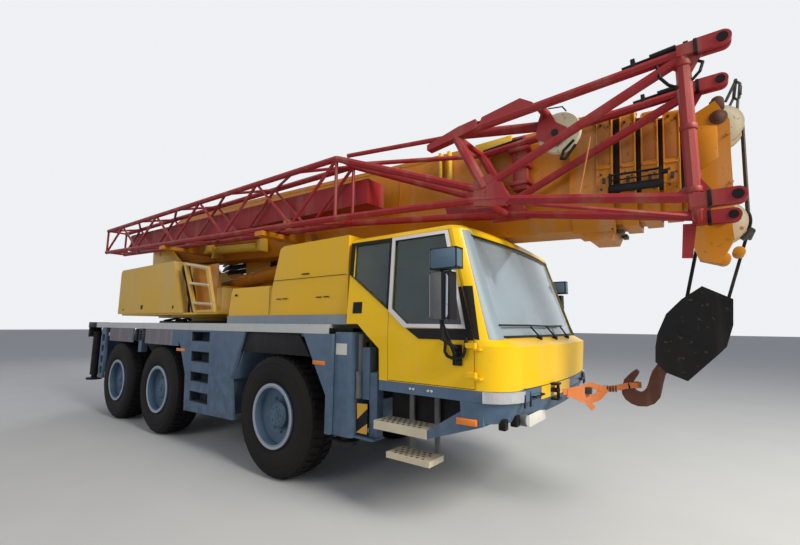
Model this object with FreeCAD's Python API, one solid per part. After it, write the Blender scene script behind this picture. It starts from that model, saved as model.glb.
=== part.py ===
import FreeCAD, Part
import math
import os

# Three-axle all-terrain crane with a telescopic boom and a lattice jib stowed beside it.
# Millimetres, +X forward, +Y to the left, +Z up, ground at Z 0.
# Everything is laid out from the front axle, and moved at the end so that the origin
# lies on the ground under the middle of the overall length.

V = FreeCAD.Vector

# Overall reach, from the front axle
front_end_x = 4460.0
rear_end_x = -6620.0
origin_shift = V(-(front_end_x + rear_end_x) / 2, 0, 0)

# Wheels and axles
axle_positions = {"axle_1": 0.0, "axle_2": -3050.0, "axle_3": -4760.0}
steered_axles = ("axle_1", "axle_3")
tyre_radius = 700.0
tyre_width = 440.0
bead_width = 380.0
tyre_bore_radius = 345.0
rim_fit = 0.3
flange_radius = 368.0
flange_thickness = 25.0
rim_barrel_wall = 25.0
disc_recess = 200.0
disc_thickness = 25.0
hub_radius = 150.0
hub_cap_length = 105.0
hub_depth = 80.0
wheel_outer_y = 1275.0
wheel_centre_y = wheel_outer_y - tyre_width / 2
stub_radius = 60.0
stub_fit = 0.05
stub_end_gap = 5.0
kingpin_y = 780.0
kingpin_radius = 40.0
kingpin_fit = 0.05
axle_tube_radius = 110.0
axle_end_radius = 80.0
kingpin_boss_radius = 75.0
kingpin_boss_height = 180.0
ear_gap = 5.0
ear_thickness = 40.0
ear_radius = 65.0
differential_radius = 190.0
strut_radius = 60.0
strut_y = 340.0

# Tow jaw
tow_pin_radius = 22.0

# Carrier frame and deck
frame_half_width = 430.0
frame_bottom_z = 850.0
frame_top_z = 1500.0
cab_frame_end_x = 2450.0
deck_top_z = 1757.0
deck_thickness = 40.0
deck_rail_depth = 100.0
deck_rail_width = 35.0
deck_front_x = 889.0
deck_rear_x = -6560.0
deck_half_width = 1275.0
deck_rib_width = 60.0
deck_rib_count = 7
skin = 50.0
skirt_inner_y = deck_half_width - skin
deck_under_z = deck_top_z - deck_rail_depth

# Outriggers
beam_width = 150.0
beam_height = 240.0
box_wall = 10.0
beam_fit = 0.3
outrigger_bottom_z = 720.0
outrigger_half_width = deck_half_width - 235.0
outrigger_front_x = 985.0
outrigger_rear_x = -6500.0
beam_length = 1960.0
jack_y = deck_half_width - 145.0
jack_radius = 85.0
jack_rod_radius = 55.0
jack_fit = 0.05
jack_bottom_z = 660.0
jack_top_z = 1560.0
foot_radius = 140.0
foot_thickness = 40.0
foot_bottom_z = 560.0

# Cab
cab_wall = 45.0
cab_bottom_z = 1148.0
cab_roof_z = 2665.0
cab_rear_x = 1140.0
cab_slant_top_z = 1763.0
cab_slant_start_x = 1298.0
cab_slant_end = (1587.0, 1531.0)
door_gap = 6.0
hinge_x = 2606.0
hinge_y = 1272.0
hinge_heights = (1330.0, 1560.0)
hinge_leaf = 16.0
hinge_pin_radius = 9.0
hinge_boss_radius = 17.0
glass_thickness = 6.0
glass_depth = 18.0
glass_fit = 0.3
bumper_bottom_z = 985.0

# Superstructure
slew_x = -3390.0
slew_ring_radius = 640.0
slew_ring_gap = 5.0
slew_spigot_radius = 560.0
slew_spigot_depth = 30.0
slew_fit = 0.1
turntable_bottom_z = 1862.0
turntable_plate = 60.0
turntable_reach = 2188.0
cheek_inner_y = 345.0
cheek_thickness = 50.0
side_outer_y = 1190.0
side_top_z = 2790.0

# Boom, in its own frame: along the boom from the foot pin, across, and up
foot_pin = V(-5500.0, 0, 3267.0)
boom_droop = 2.5
foot_pin_radius = 60.0
pin_fit = 0.05
boom_bottom = -224.0
boom_top = 800.0
boom_half_width = 330.0
boom_wall = 14.0
boom_length = 9014.0
collar_rise = 30.0
section_wall = 12.0
section_step = 32.0
tail_step = 30.0
pad_length = 60.0
section_tail = 700.0
pad_fit = 0.3

# Luffing cylinder
luff_pivot = V(-4200.0, 0, 2350.0)
luff_eye = V(-1000.0, 0, 2715.0)
barrel_radius = 130.0
barrel_length = 2720.0
rod_radius = 80.0
rod_fit = 0.05
eye_radius = 95.0
eye_width = 150.0
ear_clearance = 5.0


def block(x, y, z):
    """A box from low and high values along each axis."""
    return Part.makeBox(x[1] - x[0], y[1] - y[0], z[1] - z[0], V(x[0], y[0], z[0]))


def bar(start, end, radius):
    """A round bar between two points."""
    along = end.sub(start)
    return Part.makeCylinder(radius, along.Length, start, along)


def strut(start, end, radius, sides=6):
    """A bar of few flat sides between two points."""
    along = end.sub(start)
    corners = [V(radius * math.cos(2 * math.pi * side / sides), radius * math.sin(2 * math.pi * side / sides), 0)
               for side in range(sides)]
    prism = Part.Face(Part.makePolygon(corners + [corners[0]])).extrude(V(0, 0, along.Length))
    prism.Placement = FreeCAD.Placement(start, FreeCAD.Rotation(V(0, 0, 1), along))
    return prism


def ring(centre, axis, radius, tube, sides=8):
    """A ring bent from a bar of few flat sides."""
    corners = [V(radius + tube * math.cos(2 * math.pi * side / sides), 0,
                 tube * math.sin(2 * math.pi * side / sides)) for side in range(sides)]
    solid = Part.Face(Part.makePolygon(corners + [corners[0]])).revolve(V(0, 0, 0), V(0, 0, 1), 360)
    solid.Placement = FreeCAD.Placement(centre, FreeCAD.Rotation(V(0, 0, 1), axis))
    return solid


def closed_face(points):
    return Part.Face(Part.makePolygon(points + [points[0]]))


def slab_xz(outline, y):
    """An outline of (x, z) points, thick from the low to the high y."""
    face = closed_face([V(px, y[0], pz) for px, pz in outline])
    return face.extrude(V(0, y[1] - y[0], 0))


def slab_yz(outline, x):
    face = closed_face([V(x[0], py, pz) for py, pz in outline])
    return face.extrude(V(x[1] - x[0], 0, 0))


def turned(profile, centre):
    """A ring or disc from (y, radius) points, turned about the Y axis through centre."""
    face = closed_face([V(centre.x, centre.y + along, centre.z + radius) for along, radius in profile])
    return face.revolve(centre, V(0, 1, 0), 360)


def mirrored(shape):
    return shape.mirror(V(0, 0, 0), V(0, 1, 0))


def pair(shape):
    return [shape, mirrored(shape)]


def both(shapes):
    return [side for shape in shapes for side in pair(shape)]


def joined(shapes):
    return shapes[0].multiFuse(shapes[1:]).removeSplitter()


def cut(shape, tools):
    for tool in tools:
        shape = shape.cut(tool)
    return shape


def save(node, *shapes):
    whole = Part.makeCompound(list(shapes)) if len(shapes) > 1 else shapes[0].copy()
    whole.translate(origin_shift)
    whole.exportStep("parts/" + node + ".step")


# Wheels

def tyre(centre):
    half = tyre_width / 2
    bead = bead_width / 2
    right_half = [
        (bead, tyre_bore_radius), (bead, flange_radius + 6), (half, tyre_radius * 0.72),
        (half - 14, tyre_radius * 0.92), (half - 65, tyre_radius)]
    left_half = [(-along, radius) for along, radius in reversed(right_half)]
    return turned(right_half + left_half, centre)


def rim(centre):
    """A rim whose dished face looks to +Y."""
    lip = bead_width / 2 + rim_fit
    edge = lip + flange_thickness
    seat = tyre_bore_radius - rim_fit
    barrel = seat - rim_barrel_wall
    disc = tyre_width / 2 - disc_recess
    face = disc + disc_thickness
    bore = stub_radius + stub_fit
    profile = [
        (disc - hub_depth, bore), (face, bore), (face, 0), (face + hub_cap_length, 0),
        (face + hub_cap_length, hub_radius - 35), (face + hub_cap_length - 25, hub_radius),
        (face, hub_radius), (face + 60, barrel), (edge, barrel), (edge, flange_radius),
        (lip, flange_radius), (lip, seat), (-lip, seat), (-lip, flange_radius),
        (-edge, flange_radius), (-edge, barrel), (disc + 60, barrel), (disc, hub_radius + 30),
        (disc - hub_depth, hub_radius + 30)]
    return turned(profile, centre)


def make_wheels():
    for axle, axle_x in axle_positions.items():
        centre = V(axle_x, wheel_centre_y, tyre_radius)
        for side, shapes in (("left", (tyre(centre), rim(centre))),
                             ("right", (mirrored(tyre(centre)), mirrored(rim(centre))))):
            save("tyre_" + axle + "_" + side, shapes[0])
            save("rim_" + axle + "_" + side, shapes[1])


def hub_face_y():
    return wheel_centre_y + tyre_width / 2 - disc_recess - hub_depth


def stub(axle_x, from_y):
    tip_y = hub_face_y() + hub_depth + disc_thickness - stub_end_gap
    return bar(V(axle_x, from_y, tyre_radius), V(axle_x, tip_y, tyre_radius), stub_radius)


def kingpin_boss(axle_x):
    low = tyre_radius - kingpin_boss_height / 2
    boss = bar(V(axle_x, kingpin_y, low), V(axle_x, kingpin_y, low + kingpin_boss_height), kingpin_boss_radius)
    arm = strut(V(axle_x, 600, tyre_radius), V(axle_x, kingpin_y, tyre_radius), axle_end_radius, 12)
    hole = bar(V(axle_x, kingpin_y, 0), V(axle_x, kingpin_y, 2 * tyre_radius), kingpin_radius + kingpin_fit)
    return [arm, boss], hole


def axle_beam(axle, axle_x):
    """A beam with its differential and struts; steered beams end in bores for the king pins."""
    tube_end = kingpin_y - kingpin_boss_radius - 15
    tube = strut(V(axle_x, -tube_end, tyre_radius), V(axle_x, tube_end, tyre_radius), axle_tube_radius, 12)
    bulge_end = 0.7 * differential_radius
    bulge = strut(V(axle_x, -bulge_end, tyre_radius), V(axle_x, bulge_end, tyre_radius), differential_radius, 12)
    flat = block((axle_x - 300, axle_x + 300), (-300, 300), (frame_bottom_z - 1, frame_bottom_z + 300))
    pieces = [tube, bulge.cut(flat)]
    for side in (-1, 1):
        foot = V(axle_x, side * strut_y, tyre_radius)
        pieces.append(strut(foot, V(axle_x, side * strut_y, frame_bottom_z), strut_radius, 8))
    holes = []
    if axle in steered_axles:
        ends, hole = kingpin_boss(axle_x)
        pieces += both(ends)
        holes = pair(hole)
    else:
        drum = bar(V(axle_x, tube_end, tyre_radius), V(axle_x, hub_face_y() - 5, tyre_radius), 150)
        pieces += both([drum, stub(axle_x, tube_end)])
    return cut(joined(pieces), holes)


def knuckle(axle_x):
    """The steered end: two ears on a king pin, a web and the stub that carries the wheel."""
    reach = kingpin_boss_height / 2 + ear_gap
    web_inner = kingpin_y + kingpin_boss_radius + ear_gap
    web_outer = web_inner + 50
    pieces = [stub(axle_x, web_inner)]
    top = tyre_radius + reach + ear_thickness
    bottom = tyre_radius - reach - ear_thickness
    pieces.append(bar(V(axle_x, kingpin_y, bottom), V(axle_x, kingpin_y, top), kingpin_radius))
    for low in (bottom, top - ear_thickness):
        pieces.append(bar(V(axle_x, kingpin_y, low), V(axle_x, kingpin_y, low + ear_thickness), ear_radius))
        pieces.append(block((axle_x - ear_radius, axle_x + ear_radius), (kingpin_y, web_outer),
                            (low, low + ear_thickness)))
    pieces.append(block((axle_x - 90, axle_x + 90), (web_inner, web_outer), (bottom, top)))
    drum = bar(V(axle_x, web_outer, tyre_radius), V(axle_x, hub_face_y() - 5, tyre_radius), 150)
    pieces.append(drum)
    return joined(pieces)


def make_axles():
    save("axles", *[axle_beam(axle, axle_x) for axle, axle_x in axle_positions.items()])
    for axle in steered_axles:
        left = knuckle(axle_positions[axle])
        save("knuckle_" + axle + "_left", left)
        save("knuckle_" + axle + "_right", mirrored(left))


# Outriggers

box_width = 2 * beam_width + 3 * box_wall + 2 * 2 * beam_fit
box_height = beam_height + 2 * box_wall + 2 * beam_fit
outriggers = {"front": outrigger_front_x, "rear": outrigger_rear_x}


def channel_x(box_x, slot):
    """Low x of one beam: slot 0 is the rear one, for the right-hand beam."""
    return box_x + box_wall + beam_fit + slot * (beam_width + box_wall + 2 * beam_fit)


def outrigger_box(box_x):
    z = (outrigger_bottom_z, outrigger_bottom_z + box_height)
    outer = block((box_x, box_x + box_width), (-outrigger_half_width, outrigger_half_width), z)
    channels = []
    for slot in (0, 1):
        low = channel_x(box_x, slot) - beam_fit
        channels.append(block((low, low + beam_width + 2 * beam_fit), (-2000, 2000),
                              (z[0] + box_wall, z[1] - box_wall)))
    return cut(outer, channels)


def outrigger_beam(box_x, slot):
    """A left-hand beam with its jack barrel; the right-hand one is mirrored."""
    low_x = channel_x(box_x, slot)
    low_z = outrigger_bottom_z + box_wall + beam_fit
    beam = block((low_x, low_x + beam_width), (jack_y - beam_length, jack_y), (low_z, low_z + beam_height))
    centre_x = low_x + beam_width / 2
    barrel = bar(V(centre_x, jack_y, jack_bottom_z), V(centre_x, jack_y, jack_top_z), jack_radius)
    bore = bar(V(centre_x, jack_y, 0), V(centre_x, jack_y, jack_top_z - 40), jack_rod_radius + jack_fit)
    return joined([beam, barrel]).cut(bore)


def outrigger_jack(box_x, slot):
    centre_x = channel_x(box_x, slot) + beam_width / 2
    plate = bar(V(centre_x, jack_y, foot_bottom_z), V(centre_x, jack_y, foot_bottom_z + foot_thickness), foot_radius)
    rod = bar(V(centre_x, jack_y, foot_bottom_z), V(centre_x, jack_y, jack_top_z - 80), jack_rod_radius)
    return joined([plate, rod])


def make_outriggers():
    save("outrigger_boxes", *[outrigger_box(box_x) for box_x in outriggers.values()])
    for place, box_x in outriggers.items():
        for side, slot in (("right", 0), ("left", 1)):
            beam = outrigger_beam(box_x, slot)
            jack = outrigger_jack(box_x, slot)
            if side == "right":
                beam, jack = mirrored(beam), mirrored(jack)
            save("outrigger_beam_" + place + "_" + side, beam)
            save("outrigger_jack_" + place + "_" + side, jack)


# Carrier

def make_chassis():
    main = block((outrigger_rear_x + box_width, outrigger_front_x + box_width),
                 (-frame_half_width, frame_half_width), (frame_bottom_z, frame_top_z))
    nose = block((outrigger_front_x + box_width, cab_frame_end_x), (-frame_half_width, frame_half_width),
                 (frame_bottom_z, cab_bottom_z))
    tail = block((outrigger_rear_x, outrigger_rear_x + box_width), (-frame_half_width, frame_half_width),
                 (outrigger_bottom_z + box_height, frame_top_z))
    notch = block((outrigger_front_x, outrigger_front_x + box_width), (-frame_half_width, frame_half_width),
                  (0, outrigger_bottom_z + box_height))
    ring_top_z = deck_top_z + 45
    slew_ring = bar(V(slew_x, 0, frame_top_z), V(slew_x, 0, ring_top_z), slew_ring_radius)
    socket = bar(V(slew_x, 0, ring_top_z - slew_spigot_depth - slew_ring_gap), V(slew_x, 0, ring_top_z + 1),
                 slew_spigot_radius + slew_fit)
    save("chassis_frame", joined([main, nose, tail]).cut(notch), slew_ring.cut(socket))


def make_deck():
    plate = block((deck_rear_x, deck_front_x), (-deck_half_width, deck_half_width),
                  (deck_top_z - deck_thickness, deck_top_z))
    pieces = [plate]
    rail = block((deck_rear_x, deck_front_x), (deck_half_width - deck_rail_width, deck_half_width),
                 (deck_under_z, deck_top_z))
    pieces += pair(rail)
    first = deck_rear_x + 400
    pitch = (deck_front_x - 150 - first) / (deck_rib_count - 1)
    for index in range(deck_rib_count):
        rib_x = first + index * pitch
        pieces.append(block((rib_x, rib_x + deck_rib_width), (-frame_half_width, frame_half_width),
                            (frame_top_z, deck_top_z - deck_thickness)))
    well = bar(V(slew_x, 0, frame_top_z), V(slew_x, 0, deck_top_z + 10), slew_ring_radius + 10)
    save("deck", joined(pieces).cut(well))


# Side panel outline, and its column of step openings as (z low, z high), leaning from the rear top corner
arch_corner_z = 1040.0
mid_panel = [(-2404, deck_under_z), (-2404, 1490), (-2337, 1417), (-2130, 1013), (-2089, 500), (-800, 540),
             (-905, arch_corner_z), (-620, deck_under_z)]
step_heights = [(1497.0, 1635.0), (1207.0, 1354.0), (929.0, 1062.0), (649.0, 792.0)]
step_column = V(-2000.0, 0, 1635.0)
step_lean = 0.0558
step_width = 510.0
locker_z = (560.0, 1480.0)
well_depth = 190.0
tread_thickness = 15.0
front_panel = [(510, deck_under_z), (900, 1030), (900, 650), (975, 650), (975, deck_under_z)]
# Flat panels over the two rear axles as (x low, x high)
fender_spans = [(-3636, -2409), (-5284, -4172)]
fender_bottom_z = 2 * tyre_radius + 8.0
fender_thickness = 26.0
liner_clearance = 40.0
side_box_inner_y = deck_half_width - 125.0
ladder_x = (-5730.0, -5515.0)
ladder_holes = [(760, 890), (970, 1100), (1180, 1310), (1390, 1520)]


def step_rear_x(z):
    return step_column.x + step_lean * (step_column.z - z)


def side_panel_left():
    """The panel's plates round the steps, the treads, and the tank and locker behind them."""
    skirt_y = (skirt_inner_y, deck_half_width)
    outer = slab_xz(mid_panel, skirt_y)
    top = deck_under_z + 1
    bottom = locker_z[0] - 100
    column = slab_xz([(step_rear_x(top), top), (step_rear_x(top) + step_width, top),
                      (step_rear_x(bottom) + step_width, bottom), (step_rear_x(bottom), bottom)], skirt_y)
    rungs = outer.common(column)
    for low_z, high_z in step_heights:
        rungs = rungs.cut(block((step_column.x - 10, step_column.x + 2 * step_width), skirt_y, (low_z, high_z)))
    low_half = block((mid_panel[0][0], 0), skirt_y, (0, arch_corner_z))
    sides = outer.cut(column)
    plates = rungs.Solids + sides.cut(low_half).Solids + sides.common(low_half).Solids
    back_y = deck_half_width - well_depth
    tank = block((-1400, -980), (frame_half_width, skirt_inner_y), locker_z)
    locker = block((-2060, -1400), (frame_half_width, back_y), locker_z)
    treads = [block((step_rear_x(low_z), step_rear_x(low_z) + step_width), (back_y, skirt_inner_y),
                    (low_z - tread_thickness, low_z)) for low_z, _ in step_heights]
    return plates + [tank, locker] + treads


def make_side_panels():
    save("side_panels", *both(side_panel_left()))
    front = slab_xz(front_panel, (skirt_inner_y, deck_half_width))
    liner = [(-905, arch_corner_z), (-620, 1590), (-560, deck_under_z), (460, deck_under_z), (510, 1640), (900, 1030),
             (880, 1030), (495, 1620), (-605, 1580), (-890, 1035)]
    lining = slab_xz(liner, (620, skirt_inner_y))
    covers = [front, lining]
    liner_z = 2 * tyre_radius + liner_clearance
    for low_x, high_x in fender_spans:
        covers.append(block((low_x, high_x), (deck_half_width - fender_thickness, deck_half_width),
                            (fender_bottom_z, deck_under_z)))
        covers.append(block((low_x, high_x), (820, deck_half_width - fender_thickness), (liner_z, liner_z + 15)))
    first = fender_spans[0][0]
    covers.append(block((first - 330, first - 200), (side_box_inner_y, deck_half_width - 30),
                        (1250, deck_under_z)))
    panel = block(ladder_x, (skirt_inner_y, deck_half_width), (670, deck_under_z))
    holes = [block((ladder_x[0] + 35, ladder_x[1] - 35), (skirt_inner_y - 5, deck_half_width + 5), span)
             for span in ladder_holes]
    panel = cut(panel, holes)
    locker = block((outrigger_rear_x + box_width + 5, ladder_x[0] - 10), (frame_half_width, side_box_inner_y),
                   (800, locker_z[1]))
    side_box = joined([block((ladder_x[0] - 130, ladder_x[1]), (side_box_inner_y, skirt_inner_y),
                             (deck_under_z - 97, deck_under_z)), panel])
    save("fenders", *both(covers + [side_box, locker]))


def make_rear():
    rear_x = outrigger_rear_x
    top = outrigger_bottom_z + box_height
    plate = block((rear_x + box_width - 60, rear_x + box_width), (frame_half_width, 1000), (top, 1480))
    rear_bar = block((rear_end_x, rear_x + 90), (-1000, 1000), (1180, 1460))
    core = block((rear_x, rear_x + 91), (-frame_half_width, frame_half_width), (1000, 1600))
    rear_bar = rear_bar.cut(core)
    jaw = block((rear_end_x, rear_x + 150), (-120, 120), (outrigger_bottom_z - 170, outrigger_bottom_z))
    slot = block((rear_end_x - 10, rear_x + 90), (-130, 130), (outrigger_bottom_z - 115, outrigger_bottom_z - 45))
    pin_hole = bar(V(rear_end_x + 55, 0, 0), V(rear_end_x + 55, 0, outrigger_bottom_z + 1), tow_pin_radius)
    save("rear_bumper", rear_bar, *pair(plate), jaw.cut(slot).cut(pin_hole))


# Cab

# Plan sections as (z, x where the corner starts, half width, x where it ends, x of the middle, corner width)
cab_sections = [(cab_bottom_z, 2600, 1235, 2870, 2940, 300), (1590, 2620, 1248, 2900, 2970, 300),
                (1650, 2600, 1249, 2770, 2835, 240), (2615, 2352, 1178, 2452, 2512, 190),
                (cab_roof_z, 2280, 1110, 2380, 2440, 180)]
bumper_sections = [(bumper_bottom_z, 2530, 1225, 2790, 2855, 290), (cab_bottom_z, 2605, 1240, 2875, 2945, 300)]
cab_half_width = max(section[2] for section in cab_sections)
cab_front_x = max(section[4] for section in cab_sections)


def cab_plan(section, inset, lift, rear_x):
    """A closed outline seen from above: straight rear and sides, round corners, bowed front."""
    z, back, half_width, tip_x, middle_x, corner = section
    z += lift
    back -= inset
    tip_x -= inset
    middle_x -= inset
    half_width -= inset
    tip_y = half_width - corner
    mid = V(back + 0.68 * (tip_x - back), half_width - 0.3 * corner, z)
    right_mid = V(mid.x, -mid.y, z)
    edges = [
        Part.LineSegment(V(rear_x, -half_width, z), V(back, -half_width, z)),
        Part.Arc(V(back, -half_width, z), right_mid, V(tip_x, -tip_y, z)),
        Part.Arc(V(tip_x, -tip_y, z), V(middle_x, 0, z), V(tip_x, tip_y, z)),
        Part.Arc(V(tip_x, tip_y, z), mid, V(back, half_width, z)),
        Part.LineSegment(V(back, half_width, z), V(rear_x, half_width, z)),
        Part.LineSegment(V(rear_x, half_width, z), V(rear_x, -half_width, z))]
    return Part.Wire([edge.toShape() for edge in edges])


def cab_body(inset):
    """The cab's closed form, drawn in by an even amount all round."""
    wires = []
    last = len(cab_sections) - 1
    for index, section in enumerate(cab_sections):
        lift = inset if index == 0 else (-inset if index == last else 0)
        wires.append(cab_plan(section, inset, lift, cab_rear_x + inset))
    form = Part.makeLoft(wires, True, True)
    end_x, end_z = cab_slant_end
    under = [(cab_rear_x - 500, cab_bottom_z - 500), (cab_rear_x - 500, cab_slant_top_z + inset),
             (cab_slant_start_x + inset * 0.35, cab_slant_top_z + inset), (end_x + inset, end_z + inset * 0.48),
             (end_x + inset, cab_bottom_z - 500)]
    return form.cut(slab_xz(under, (-2000, 2000)))


def shrunk(outline, gap):
    """The outline moved inwards by gap."""
    face = closed_face([V(px, 0, pz) for px, pz in outline])
    wire = face.OuterWire.makeOffset2D(-gap)
    points = [(vertex.Point.x, vertex.Point.z) for vertex in wire.OrderedVertexes]
    return points


door_outline = [(1688, 1246), (2590, 1246), (2590, 1660), (2322, 2604), (1688, 2604)]
door_window = [(1714, 1905), (1915, 1750), (2490, 1746), (2296, 2580), (1714, 2580)]
quarter_window = [(1190, 2243), (1662, 1911), (1662, 2580), (1190, 2580)]
# Windscreen seen from the front as (y, z)
windscreen = [(-1120, 1668), (1120, 1668), (1050, 2555), (-1050, 2555)]
rear_window = [(-800, 1950), (800, 1950), (760, 2450), (-760, 2450)]
side_reach = (0.56 * cab_half_width, 1.2 * cab_half_width)
front_reach = (cab_front_x - 770.0, cab_front_x + 230.0)


def cab_skin(outer_inset, inner_inset):
    return cab_body(outer_inset).cut(cab_body(inner_inset))


def hinge_bar(low, high, radius):
    return bar(V(hinge_x, hinge_y, low), V(hinge_x, hinge_y, high), radius)


def hinge_fixed():
    """Left-hand hinge pins on brackets that stand out from the cab's corner."""
    pieces = []
    for z in hinge_heights:
        bracket = block((hinge_x, hinge_x + 50), (hinge_y - 75, hinge_y + hinge_boss_radius), (z, z + hinge_leaf))
        pieces += [bracket, hinge_bar(z, z + hinge_leaf, hinge_boss_radius), hinge_bar(z, z + 60, hinge_pin_radius)]
    return pieces


def hinge_moving():
    """Left-hand straps on the door, bored for the pins."""
    pieces = []
    for z in hinge_heights:
        low = z + hinge_leaf + pin_fit
        strap = block((hinge_x - 80, hinge_x), (hinge_y - 16, hinge_y + hinge_boss_radius), (low, low + 40))
        foot = block((hinge_x - 80, hinge_x - 30), (hinge_y - 38, hinge_y), (low, low + 40))
        pieces += [strap, foot, hinge_bar(low, low + 40, hinge_boss_radius)]
    return pieces


def make_cab():
    shell = cab_skin(0, cab_wall)
    doorway = slab_xz(door_outline, side_reach)
    quarter = slab_xz(quarter_window, side_reach)
    front = slab_yz(windscreen, front_reach)
    back = slab_yz(rear_window, (cab_rear_x - 50, cab_rear_x + 200))
    fixed = both(hinge_fixed())
    body = cut(shell, pair(doorway) + pair(quarter) + [front, back])
    save("cab_shell", joined([body] + fixed))
    pane = cab_skin(glass_depth, glass_depth + glass_thickness)
    inner_front = slab_yz(grown_front(-1.0), front_reach)
    quarter_pane = pane.common(slab_xz(shrunk(quarter_window, glass_fit), side_reach))
    panes = [pane.common(inner_front), quarter_pane, mirrored(quarter_pane)]
    panes.append(slab_yz(grown(rear_window, -glass_fit), (cab_rear_x + glass_depth, cab_rear_x + glass_depth + 6)))
    save("cab_glass", *panes)
    leaf = shell.common(slab_xz(shrunk(door_outline, door_gap), side_reach))
    leaf = leaf.cut(slab_xz(door_window, side_reach))
    holes = [hinge_bar(z, z + 80, hinge_pin_radius + pin_fit) for z in hinge_heights]
    leaf = cut(joined([leaf] + hinge_moving()), holes)
    door_pane = pane.common(slab_xz(shrunk(door_window, glass_fit), side_reach))
    save("door_left", leaf, door_pane)
    save("door_right", mirrored(leaf), mirrored(door_pane))


def grown(outline, amount):
    """A four-sided window moved outwards, or inwards where amount is negative."""
    middle_z = sum(pz for _, pz in outline) / len(outline)
    return [(py + amount * math.copysign(1, py), pz + amount * math.copysign(1, pz - middle_z))
            for py, pz in outline]


def grown_front(amount):
    return grown(windscreen, amount * glass_fit)


def make_cab_inside():
    """Seats, dashboard and wheel, standing on the cab floor."""
    floor = cab_bottom_z + cab_wall
    seats = []
    for seat_y in (-620, 620):
        base = block((1720, 2060), (seat_y - 180, seat_y + 180), (floor, floor + 330))
        cushion = block((1690, 2130), (seat_y - 240, seat_y + 240), (floor + 330, floor + 450))
        back = slab_xz([(1690, floor + 450), (1800, floor + 450), (1690, floor + 1130), (1590, floor + 1130)],
                       (seat_y - 230, seat_y + 230))
        seats += [joined([base, cushion]), back]
    tunnel = block((1660, 2500), (-300, 300), (floor, floor + 340))
    dash = slab_xz([(2440, floor), (2560, floor), (2560, 1600), (2420, 1640), (2380, 1560), (2440, 1500)],
                   (-1080, 1080))
    hub = V(2270, 620, 1830)
    column = strut(V(2440, 620, 1560), hub, 35, 8)
    lean = V(-0.62, 0, 1)
    wheel = ring(hub, lean, 225, 18)
    spokes = strut(hub.sub(V(0, 215, 0)), hub.add(V(0, 215, 0)), 14)
    save("cab_inside", *seats, dash, joined([column, wheel, spokes]).cut(dash), tunnel)


def make_front():
    """Bumper with corner wings, lamps, steps and mirrors."""
    beam = Part.makeLoft([cab_plan(section, 0, 0, cab_frame_end_x) for section in bumper_sections], True, True)
    wing = slab_xz([(2578, cab_bottom_z), (2116, 859), (2116, 789), (2640, 965), (2640, cab_bottom_z)],
                   (1080, 1215))
    save("front_bumper", joined([beam] + pair(wing)))
    ahead = cab_skin(-22, 0)
    lamp = ahead.common(block((2655, front_reach[1]), (950, 1300), (cab_bottom_z + 5, door_outline[0][1] - 8)))
    save("headlamps", *pair(lamp))
    steps = []
    for low_x, high_x, low_z, high_z in ((1527, 2111, 790, 868), (1682, 2148, 563, 612)):
        tread = block((low_x, high_x), (1000, 1235), (low_z, high_z))
        tread = tread.cut(block((low_x + 20, high_x - 20), (1020, 1215), (low_z - 1, high_z - 12)))
        steps.append(tread)
    for hanger_x in (1780, 2060):
        steps.append(block((hanger_x, hanger_x + 40), (980, 1000), (563, cab_bottom_z)))
    save("cab_steps", *pair(joined(steps)))


def mirror_left():
    heads = [block((2359, 2600), (1440, 1555), (2197, 2364)), block((2360, 2540), (1440, 1555), (1800, 2175))]
    stem = bar(V(2440, 1498, 1640), V(2440, 1498, 2200), 16)
    foot = bar(V(2440, 1498, 1655), V(2440, 1240 + glass_fit + 14, 1560), 16)
    brace = bar(V(2440, 1498, 1780), V(2440, 1262, 1470), 14)
    pad = block((2400, 2480), (1250.3, 1268), (1430, 1600))
    return joined(heads + [stem, foot, brace, pad])


def make_mirrors():
    left = mirror_left()
    door_outside = cab_body(-glass_fit)
    left = left.cut(door_outside)
    save("mirror_left", left)
    save("mirror_right", mirrored(left))


# Engine cover

cover_wall = 25.0
cover_half_width = 1190.0
plinth_top_z = 1861.0
cover_front_x = 1100.0
cover_step_x = -240.0
low_cover = [(-1186, plinth_top_z), (-1140, 2180), (-1110, 2233), (cover_step_x, 2233), (cover_step_x, plinth_top_z)]
tall_cover = [(cover_step_x, plinth_top_z), (-225, 2176), (-80, 2680), (-10, 2709), (cover_front_x, 2709),
              (cover_front_x, plinth_top_z)]


def make_engine():
    y = (-cover_half_width, cover_half_width)
    inner_y = (-cover_half_width + cover_wall, cover_half_width - cover_wall)
    plinth = block((low_cover[0][0], cover_front_x), (y[0] - 15, y[1] + 15), (deck_top_z, plinth_top_z))
    inner = [block((low_cover[2][0] + cover_wall, cover_step_x - cover_wall), inner_y,
                   (deck_top_z - 1, low_cover[2][1] - cover_wall)),
             block((tall_cover[3][0] + cover_wall, cover_front_x - cover_wall), inner_y,
                   (deck_top_z - 1, tall_cover[3][1] - cover_wall))]
    save("engine_cover", cut(joined([plinth, slab_xz(low_cover, y), slab_xz(tall_cover, y)]), inner))
    save("engine_block", block((60, 840), (-420, 420), (deck_top_z, 2480)))


# Superstructure

cheek = [(-5250, 1922), (-5250, 2800), (-5850, 2960), (-5890, 3330), (-5660, 3480), (-5300, 3480),
         (-4350, 2900), (-3300, 2480), (-1760, 2330), (-1620, 1922)]
winch_centre = V(-4900.0, 0, 2380.0)
drum_radius = 190.0
drum_flange_radius = 260.0


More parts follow.
